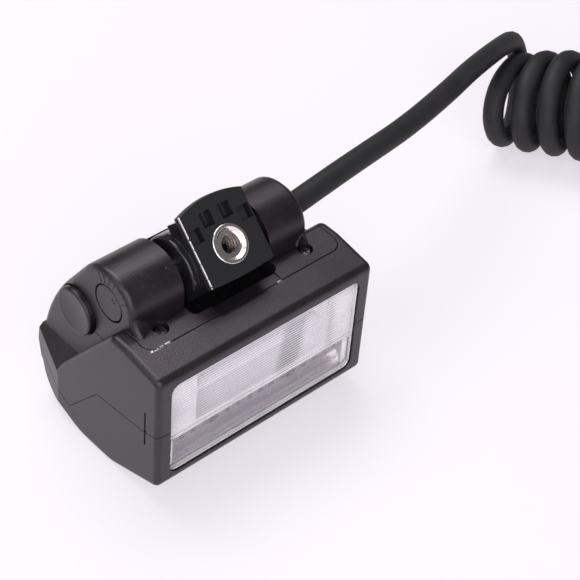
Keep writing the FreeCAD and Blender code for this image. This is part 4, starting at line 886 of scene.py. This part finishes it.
def lathe(profile, segments):
    """Closed body of revolution about +Z from (radius, height) points."""
    work = bmesh.new()
    rings = []
    angles = [2 * pi * k / segments for k in range(segments)]
    for radius, height in profile:
        if radius == 0:
            rings.append([work.verts.new((0, 0, height))])
            continue
        ring = [(radius * cos(a), radius * sin(a), height) for a in angles]
        rings.append([work.verts.new(point) for point in ring])
    for low, high in zip(rings, rings[1:]):
        for k in range(segments):
            n = (k + 1) % segments
            corners = [low[k % len(low)], low[n % len(low)]]
            corners += [high[n % len(high)], high[k % len(high)]]
            work.faces.new(list(dict.fromkeys(corners)))
    bmesh.ops.recalc_face_normals(work, faces=work.faces)
    mesh = bpy.data.meshes.new("lathed")
    work.to_mesh(mesh)
    work.free()
    return mesh


def recess_bar(top, turn):
    """One bar of the driver recess, narrower at its bottom."""
    long, wide, deep = (value * MM for value in RECESS)
    levels = ((top + RECESS_LEAD * MM, 1.0, 1.0), (top + (RECESS_LEAD * MM - deep), *RECESS_FOOT))
    corners = []
    for height, long_share, wide_share in levels:
        for x, y in ((-1, -1), (1, -1), (1, 1), (-1, 1)):
            corner = Vector((x * long / 2 * long_share, y * wide / 2 * wide_share, height))
            corners.append(Matrix.Rotation(turn, 3, "Z") @ corner)
    faces = [(3, 2, 1, 0), (4, 5, 6, 7), (0, 1, 5, 4), (1, 2, 6, 5), (2, 3, 7, 6), (3, 0, 4, 7)]
    mesh = bpy.data.meshes.new("bar")
    mesh.from_pydata(corners, [], faces)
    tidy_normals(mesh)
    return mesh


def carved(blank, steps):
    """Joins other closed meshes to a blank, or cuts them out of it, one after the other."""
    whole = linked("blank", blank)
    tools = []
    for mesh, operation in steps:
        tool = linked("tool", mesh)
        step = whole.modifiers.new("step", "BOOLEAN")
        step.operation = operation
        step.object = tool
        step.solver = "EXACT"
        tools.append(tool)
    ready = whole.evaluated_get(bpy.context.evaluated_depsgraph_get())
    mesh = bpy.data.meshes.new_from_object(ready)
    for item in [whole] + tools:
        bpy.data.objects.remove(item)
    return mesh


class FLASH_OT_screws(bpy.types.Operator):
    """Two cross-slotted screws in the cover"""

    bl_idname = "flash_head.screws"
    bl_label = "Cover screws"

    def execute(self, context):
        low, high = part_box("cover_screws")
        rim = SCREW_HEAD_R * MM
        shank = SCREW_SHANK_R * MM
        under = high.z - SCREW_HEAD_T * MM
        crown = [(rim - inward * MM, high.z - drop * MM) for inward, drop in SCREW_CROWN]
        profile = [(0, high.z), *crown, (rim, under), (shank, under), (shank, low.z), (0, low.z)]
        bars = [recess_bar(high.z, (k + RECESS_TURN) * pi / 2) for k in range(2)]
        screw = carved(lathe(profile, SCREW_SEGMENTS), [(bar, "DIFFERENCE") for bar in bars])
        both = bmesh.new()
        for x, turn in zip((low.x + rim, high.x - rim), SCREW_TURNS):
            one = screw.copy()
            middle = Matrix.Translation(Vector((x, (low.y + high.y) / 2, 0)))
            one.transform(middle @ Matrix.Rotation(turn, 4, "Z"))
            both.from_mesh(one)
        mesh = bpy.data.meshes.new("crosshead_screws")
        both.to_mesh(mesh)
        both.free()
        piece = add_piece("crosshead_screws", mesh, "head", "screw")
        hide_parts("cover_screws")
        return {"FINISHED"}


# Window


def stacked(levels, along):
    """Closed body through outlines at places along Y as (x, z), or along X as (y, z)."""
    count = len(levels[0][0])
    corners = []
    for outline, place in levels:
        corners += [(place, u, v) if along == "X" else (u, place, v) for u, v in outline]
    last = count * (len(levels) - 1)
    faces = [tuple(range(count)), tuple(range(last + count - 1, last - 1, -1))]
    for foot in range(0, last, count):
        for k in range(count):
            n = (k + 1) % count
            faces.append((foot + k, foot + k + count, foot + n + count, foot + n))
    mesh = bpy.data.meshes.new("stacked")
    mesh.from_pydata(corners, [], faces)
    tidy_normals(mesh)
    return mesh


def rounded_outline(left, right, low, high, radius, steps=8):
    """Rectangle with round corners, as (x, z) points."""
    points = []
    for k, (x, z) in enumerate(((right, high), (left, high), (left, low), (right, low))):
        middle_x = x - radius if x == right else x + radius
        middle_z = z - radius if z == high else z + radius
        for n in range(steps + 1):
            angle = (k + n / steps) * pi / 2
            points.append((middle_x + radius * cos(angle), middle_z + radius * sin(angle)))
    return points


def window_pane(low, high, bevel):
    """Front of the window with its bevelled edge, down into the flange."""
    levels = []
    flange_front = high.y - FLANGE_THICK
    for inset, place in ((bevel, low.y), (0.0, low.y + bevel), (0.0, flange_front + OVERLAP)):
        aside = WINDOW_LIP + inset
        up = WINDOW_LIP / 2 + inset
        sides = (low.x + aside, high.x - aside, low.z + up, high.z - up)
        levels.append((rounded_outline(*sides, WINDOW_CORNER - inset), place))
    return stacked(levels, "Y")


def rib_cutter(low, high, pitch, depth):
    """Saw-toothed body that cuts the ribs out of the window's back."""
    count = int((high.z - RIB_END - RIB_FOOT) / pitch)
    teeth = [(high.y + OVERLAP, RIB_FOOT)]
    for k in range(count):
        foot = RIB_FOOT + k * pitch
        teeth += [(high.y - depth, foot), (high.y, foot + pitch * RIB_SLOPE)]
    teeth.append((high.y + OVERLAP, RIB_FOOT + count * pitch))
    return stacked([(teeth, low.x + FIELD_SIDE), (teeth, high.x - FIELD_SIDE)], "X")


class FLASH_OT_window(bpy.types.Operator):
    """Clear window with fine prism ribs on the back of its upper field"""

    bl_idname = "flash_head.window"
    bl_label = "Ribbed window"

    def execute(self, context):
        head = context.scene.flash_head
        low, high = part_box("flash_window")
        rim = rounded_outline(low.x, high.x, low.z, high.z, WINDOW_CORNER)
        flange = stacked([(rim, high.y - FLANGE_THICK), (rim, high.y)], "Y")
        across = (low.x + FIELD_SIDE, high.x - FIELD_SIDE)
        sides = (*across, low.z + FIELD_SIDE, RIB_FOOT - FIELD_GAP)
        field = rounded_outline(*sides, FIELD_CORNER)
        plain = stacked([(field, high.y - FIELD_DEPTH), (field, high.y + FLANGE_THICK)], "Y")
        mesh = carved(window_pane(low, high, head.pane_bevel), [
            (flange, "UNION"),
            (rib_cutter(low, high, head.rib_pitch, head.rib_depth), "DIFFERENCE"),
            (plain, "DIFFERENCE"),
        ])
        mesh.name = "ribbed_window"
        piece = add_piece("ribbed_window", mesh, "head", "window")
        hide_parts("flash_window")
        return {"FINISHED"}


# Cord


def smooth_step(share):
    """Soft ends for a share, held within 0 and 1."""
    share = min(max(share, 0.0), 1.0)
    return share * share * (3 - 2 * share)


def way_of(angle):
    """Level direction at an angle from +X."""
    return Vector((cos(angle), sin(angle), 0))


def turn_point(shape, diameter, turn):
    """Point of one evenly wound coil at a count of turns, from the top of the first turn."""
    heading = shape["coil_heading"]
    turned = min(turn / shape["face_turns"], 1.0)
    face = shape["coil_face"] + (heading - shape["coil_face"]) * turned
    lean = shape["coil_lean"]
    across = way_of(face + pi / 2)
    rise = way_of(face) * -sin(lean) + Vector((0, 0, cos(lean)))
    height = diameter / 2 + shape["coil_radius"] * cos(lean)
    shifted = shape["shift"] * max(0, 1 - turn / shape["shift_turns"]) ** 2
    run = shape["coil_pitch"] * turn + shifted
    middle = Vector((shape["coil_x"], shape["coil_y"], height)) + way_of(heading) * run
    swell = shape["coil_swell"] * max(0, 1 - turn / SWELL_TURNS) ** 2
    radius = shape["coil_radius"] + swell
    start, full, end = SAG_TURNS
    share = (turn - start) / (full - start) if turn < full else (end - turn) / (end - full)
    angle = 2 * pi * turn
    drop = shape["coil_sag"] * smooth_step(share) * (1 + cos(angle)) / 2
    return middle + across * (radius * sin(angle)) + rise * (radius * cos(angle) - drop)


def coil_point(cord, turn):
    """Point of the coil: the front turns lie a little off the solid tube, the last ones on it."""
    names = [name for name in STORED_COIL if name not in FRONT_COIL]
    front = dict(FRONT_COIL, **{name: getattr(cord, name) for name in names})
    seen = turn_point(front, cord.diameter, turn)
    stored = turn_point(STORED_COIL, cord.diameter, turn)
    share = smooth_step((turn - FRONT_TURNS) / (STORED_TURNS - FRONT_TURNS))
    return seen.lerp(stored, share)


def cord_route(cord):
    """Control points of the whole cord: lead, turns of the coil, tail."""
    last = cord.coil_turns
    exit_point = Vector((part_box("cord_gland")[1].x, AXIS.y, AXIS.z))
    points = [exit_point, exit_point + Vector(LEAD_RUN) * MM] + [Vector(p) * MM for p in LEAD]
    top = coil_point(cord, FIRST_TURN)
    points.append(top - (top - points[-1]).normalized() * (2 * cord.diameter))
    turns = last - FIRST_TURN - COIL_START
    count = round(turns * cord.steps)
    for k in range(count + 1):
        points.append(coil_point(cord, FIRST_TURN + COIL_START + k * turns / count))
    onward = coil_point(cord, last + 0.001) - coil_point(cord, last - 0.001)
    heading = atan2(onward.y, onward.x)
    points.append(points[-1] + way_of(heading) * cord.diameter)
    for run, turn, climb in TAIL_RUNS:
        way = way_of(heading - radians(turn))
        points.append(points[-1] + (way * run + Vector((0, 0, climb))) * MM)
    return points


class FLASH_OT_cord(bpy.types.Operator):
    """Curly cord on one smooth line from the gland to the plug"""

    bl_idname = "flash_head.cord"
    bl_label = "Curly cord"

    def execute(self, context):
        cord = context.scene.flash_cord
        curve = bpy.data.curves.new("curly_cord", "CURVE")
        curve.dimensions = "3D"
        curve.resolution_u = 4
        curve.bevel_depth = cord.diameter / 2
        curve.bevel_resolution = 5
        curve.use_fill_caps = True
        spline = curve.splines.new("NURBS")
        points = cord_route(cord)
        spline.points.add(len(points) - 1)
        for place, point in zip(spline.points, points):
            place.co = (*point, 1)
        spline.order_u = 3
        spline.use_endpoint_u = True
        piece = add_piece("curly_cord", curve, "head", "rubber")
        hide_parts("cord_lead", "cord_coil", "cord_tail")
        return {"FINISHED"}


# Stage


def photo_camera(scene):
    """Camera at the photo's viewpoint, with its focal length."""
    data = bpy.data.cameras.new("camera")
    data.sensor_width = SENSOR
    data.lens = FOCAL / IMAGE * SENSOR
    data.clip_start = 0.01
    scene.camera = linked("camera", data)
    forward = Vector(CAMERA_FORWARD).normalized()
    right = Vector(CAMERA_RIGHT).normalized()
    turn = Matrix((right, right.cross(forward), -forward)).transposed()
    scene.camera.matrix_world = Matrix.Translation(Vector(CAMERA_PLACE)) @ turn.to_4x4()


def soft_room(scene, strength):
    """Dim light from all round, which the camera sees as a pale backdrop."""
    world = bpy.data.worlds.new("soft_room")
    scene.world = world
    world.use_nodes = True
    tree = world.node_tree
    room = tree.nodes["Background"]
    fill(tree, room, {"Color": ROOM_COLOR, "Strength": strength})
    inputs = {"Color": BACKDROP_COLOR, "Strength": 1.0}
    backdrop = add_node(tree, "ShaderNodeBackground", inputs)[0]
    seen = add_node(tree, "ShaderNodeLightPath")["Is Camera Ray"]
    mixed_surface(tree, seen, room.outputs[0], backdrop, "World Output")


def pale_floor(stage):
    """Paper floor that keeps the shadows and shows its lit part as plain white."""
    color = tuple(stage.floor_color)
    material, tree, shader = new_material("floor_paper", color, 0.7)
    tone = ramp(tree, noise(tree, object_place(tree), 6.0, 2.0), 0.2, 0.8)
    base = color_mix(tree, tone, scaled(color, 0.985), color)
    fill(tree, shader, {"Base Color": base})
    pale = add_node(tree, "ShaderNodeEmission", {"Color": FLOOR_GLOW})[0]
    rays = add_node(tree, "ShaderNodeLightPath")
    seen = math_node(tree, "MAXIMUM", rays["Is Camera Ray"], rays["Is Glossy Ray"])
    seen = math_node(tree, "MAXIMUM", seen, rays["Is Transmission Ray"])
    glow = product(tree, seen, stage.floor_glow)
    mixed_surface(tree, glow, shader.outputs[0], pale)
    corners = [(-1, -1, 0), (1, -1, 0), (1, 1, 0), (-1, 1, 0)]
    mesh = bpy.data.meshes.new("floor")
    mesh.from_pydata([scaled(corner, FLOOR_REACH) for corner in corners], [], [(0, 1, 2, 3)])
    mesh.materials.append(material)
    floor = linked("floor", mesh)


def area_light(name, place, size, power):
    """Soft light that faces the head."""
    data = bpy.data.lights.new(name, "AREA")
    data.shape = "RECTANGLE"
    data.size, data.size_y = size
    data.energy = power
    lamp = linked(name, data)
    lamp.location = place
    aim = Vector(LIGHT_AIM) - Vector(place)
    lamp.rotation_euler = aim.to_track_quat("-Z", "Y").to_euler()


class FLASH_OT_stage(bpy.types.Operator):
    """Camera at the photo's viewpoint, pale floor and soft lights"""

    bl_idname = "flash_head.stage"
    bl_label = "Stage"

    def execute(self, context):
        scene = context.scene
        stage = scene.flash_stage
        scene.view_settings.view_transform = "Standard"
        photo_camera(scene)
        soft_room(scene, stage.room_strength)
        pale_floor(stage)
        area_light("back", *BACK_LIGHT, stage.key_power)
        area_light("left", *LEFT_LIGHT, stage.side_power)
        area_light("front", *FRONT_LIGHT, stage.fill_power)
        return {"FINISHED"}


class FLASH_PT_panel(bpy.types.Panel):
    """Sidebar panel of the flash head"""

    bl_label = "Flash head"
    bl_idname = "FLASH_PT_panel"
    bl_space_type = "VIEW_3D"
    bl_region_type = "UI"
    bl_category = "Flash Head"

    def draw(self, context):
        scene = context.scene
        for settings in (scene.flash_head, scene.flash_cord, scene.flash_stage):
            for name in settings.__annotations__:
                self.layout.prop(settings, name)
        for operator in OPERATORS:
            self.layout.operator(operator.bl_idname)


OPERATORS = [
    FLASH_OT_finishes, FLASH_OT_stage, FLASH_OT_cord, FLASH_OT_thread, FLASH_OT_ticks,
    FLASH_OT_screws, FLASH_OT_window,
]
CLASSES = [HeadSettings, CordSettings, StageSettings, *OPERATORS, FLASH_PT_panel]


def register():
    for item in CLASSES:
        bpy.utils.register_class(item)
    bpy.types.Scene.flash_head = bpy.props.PointerProperty(type=HeadSettings)
    bpy.types.Scene.flash_cord = bpy.props.PointerProperty(type=CordSettings)
    bpy.types.Scene.flash_stage = bpy.props.PointerProperty(type=StageSettings)


def unregister():
    del bpy.types.Scene.flash_stage
    del bpy.types.Scene.flash_cord
    del bpy.types.Scene.flash_head
    for item in reversed(CLASSES):
        bpy.utils.unregister_class(item)


def main():
    register()
    bpy.ops.flash_head.finishes()
    bpy.ops.flash_head.stage()
    bpy.ops.flash_head.cord()
    bpy.ops.flash_head.thread()
    bpy.ops.flash_head.ticks()
    bpy.ops.flash_head.screws()
    bpy.ops.flash_head.window()


if __name__ == "__main__":
    main()
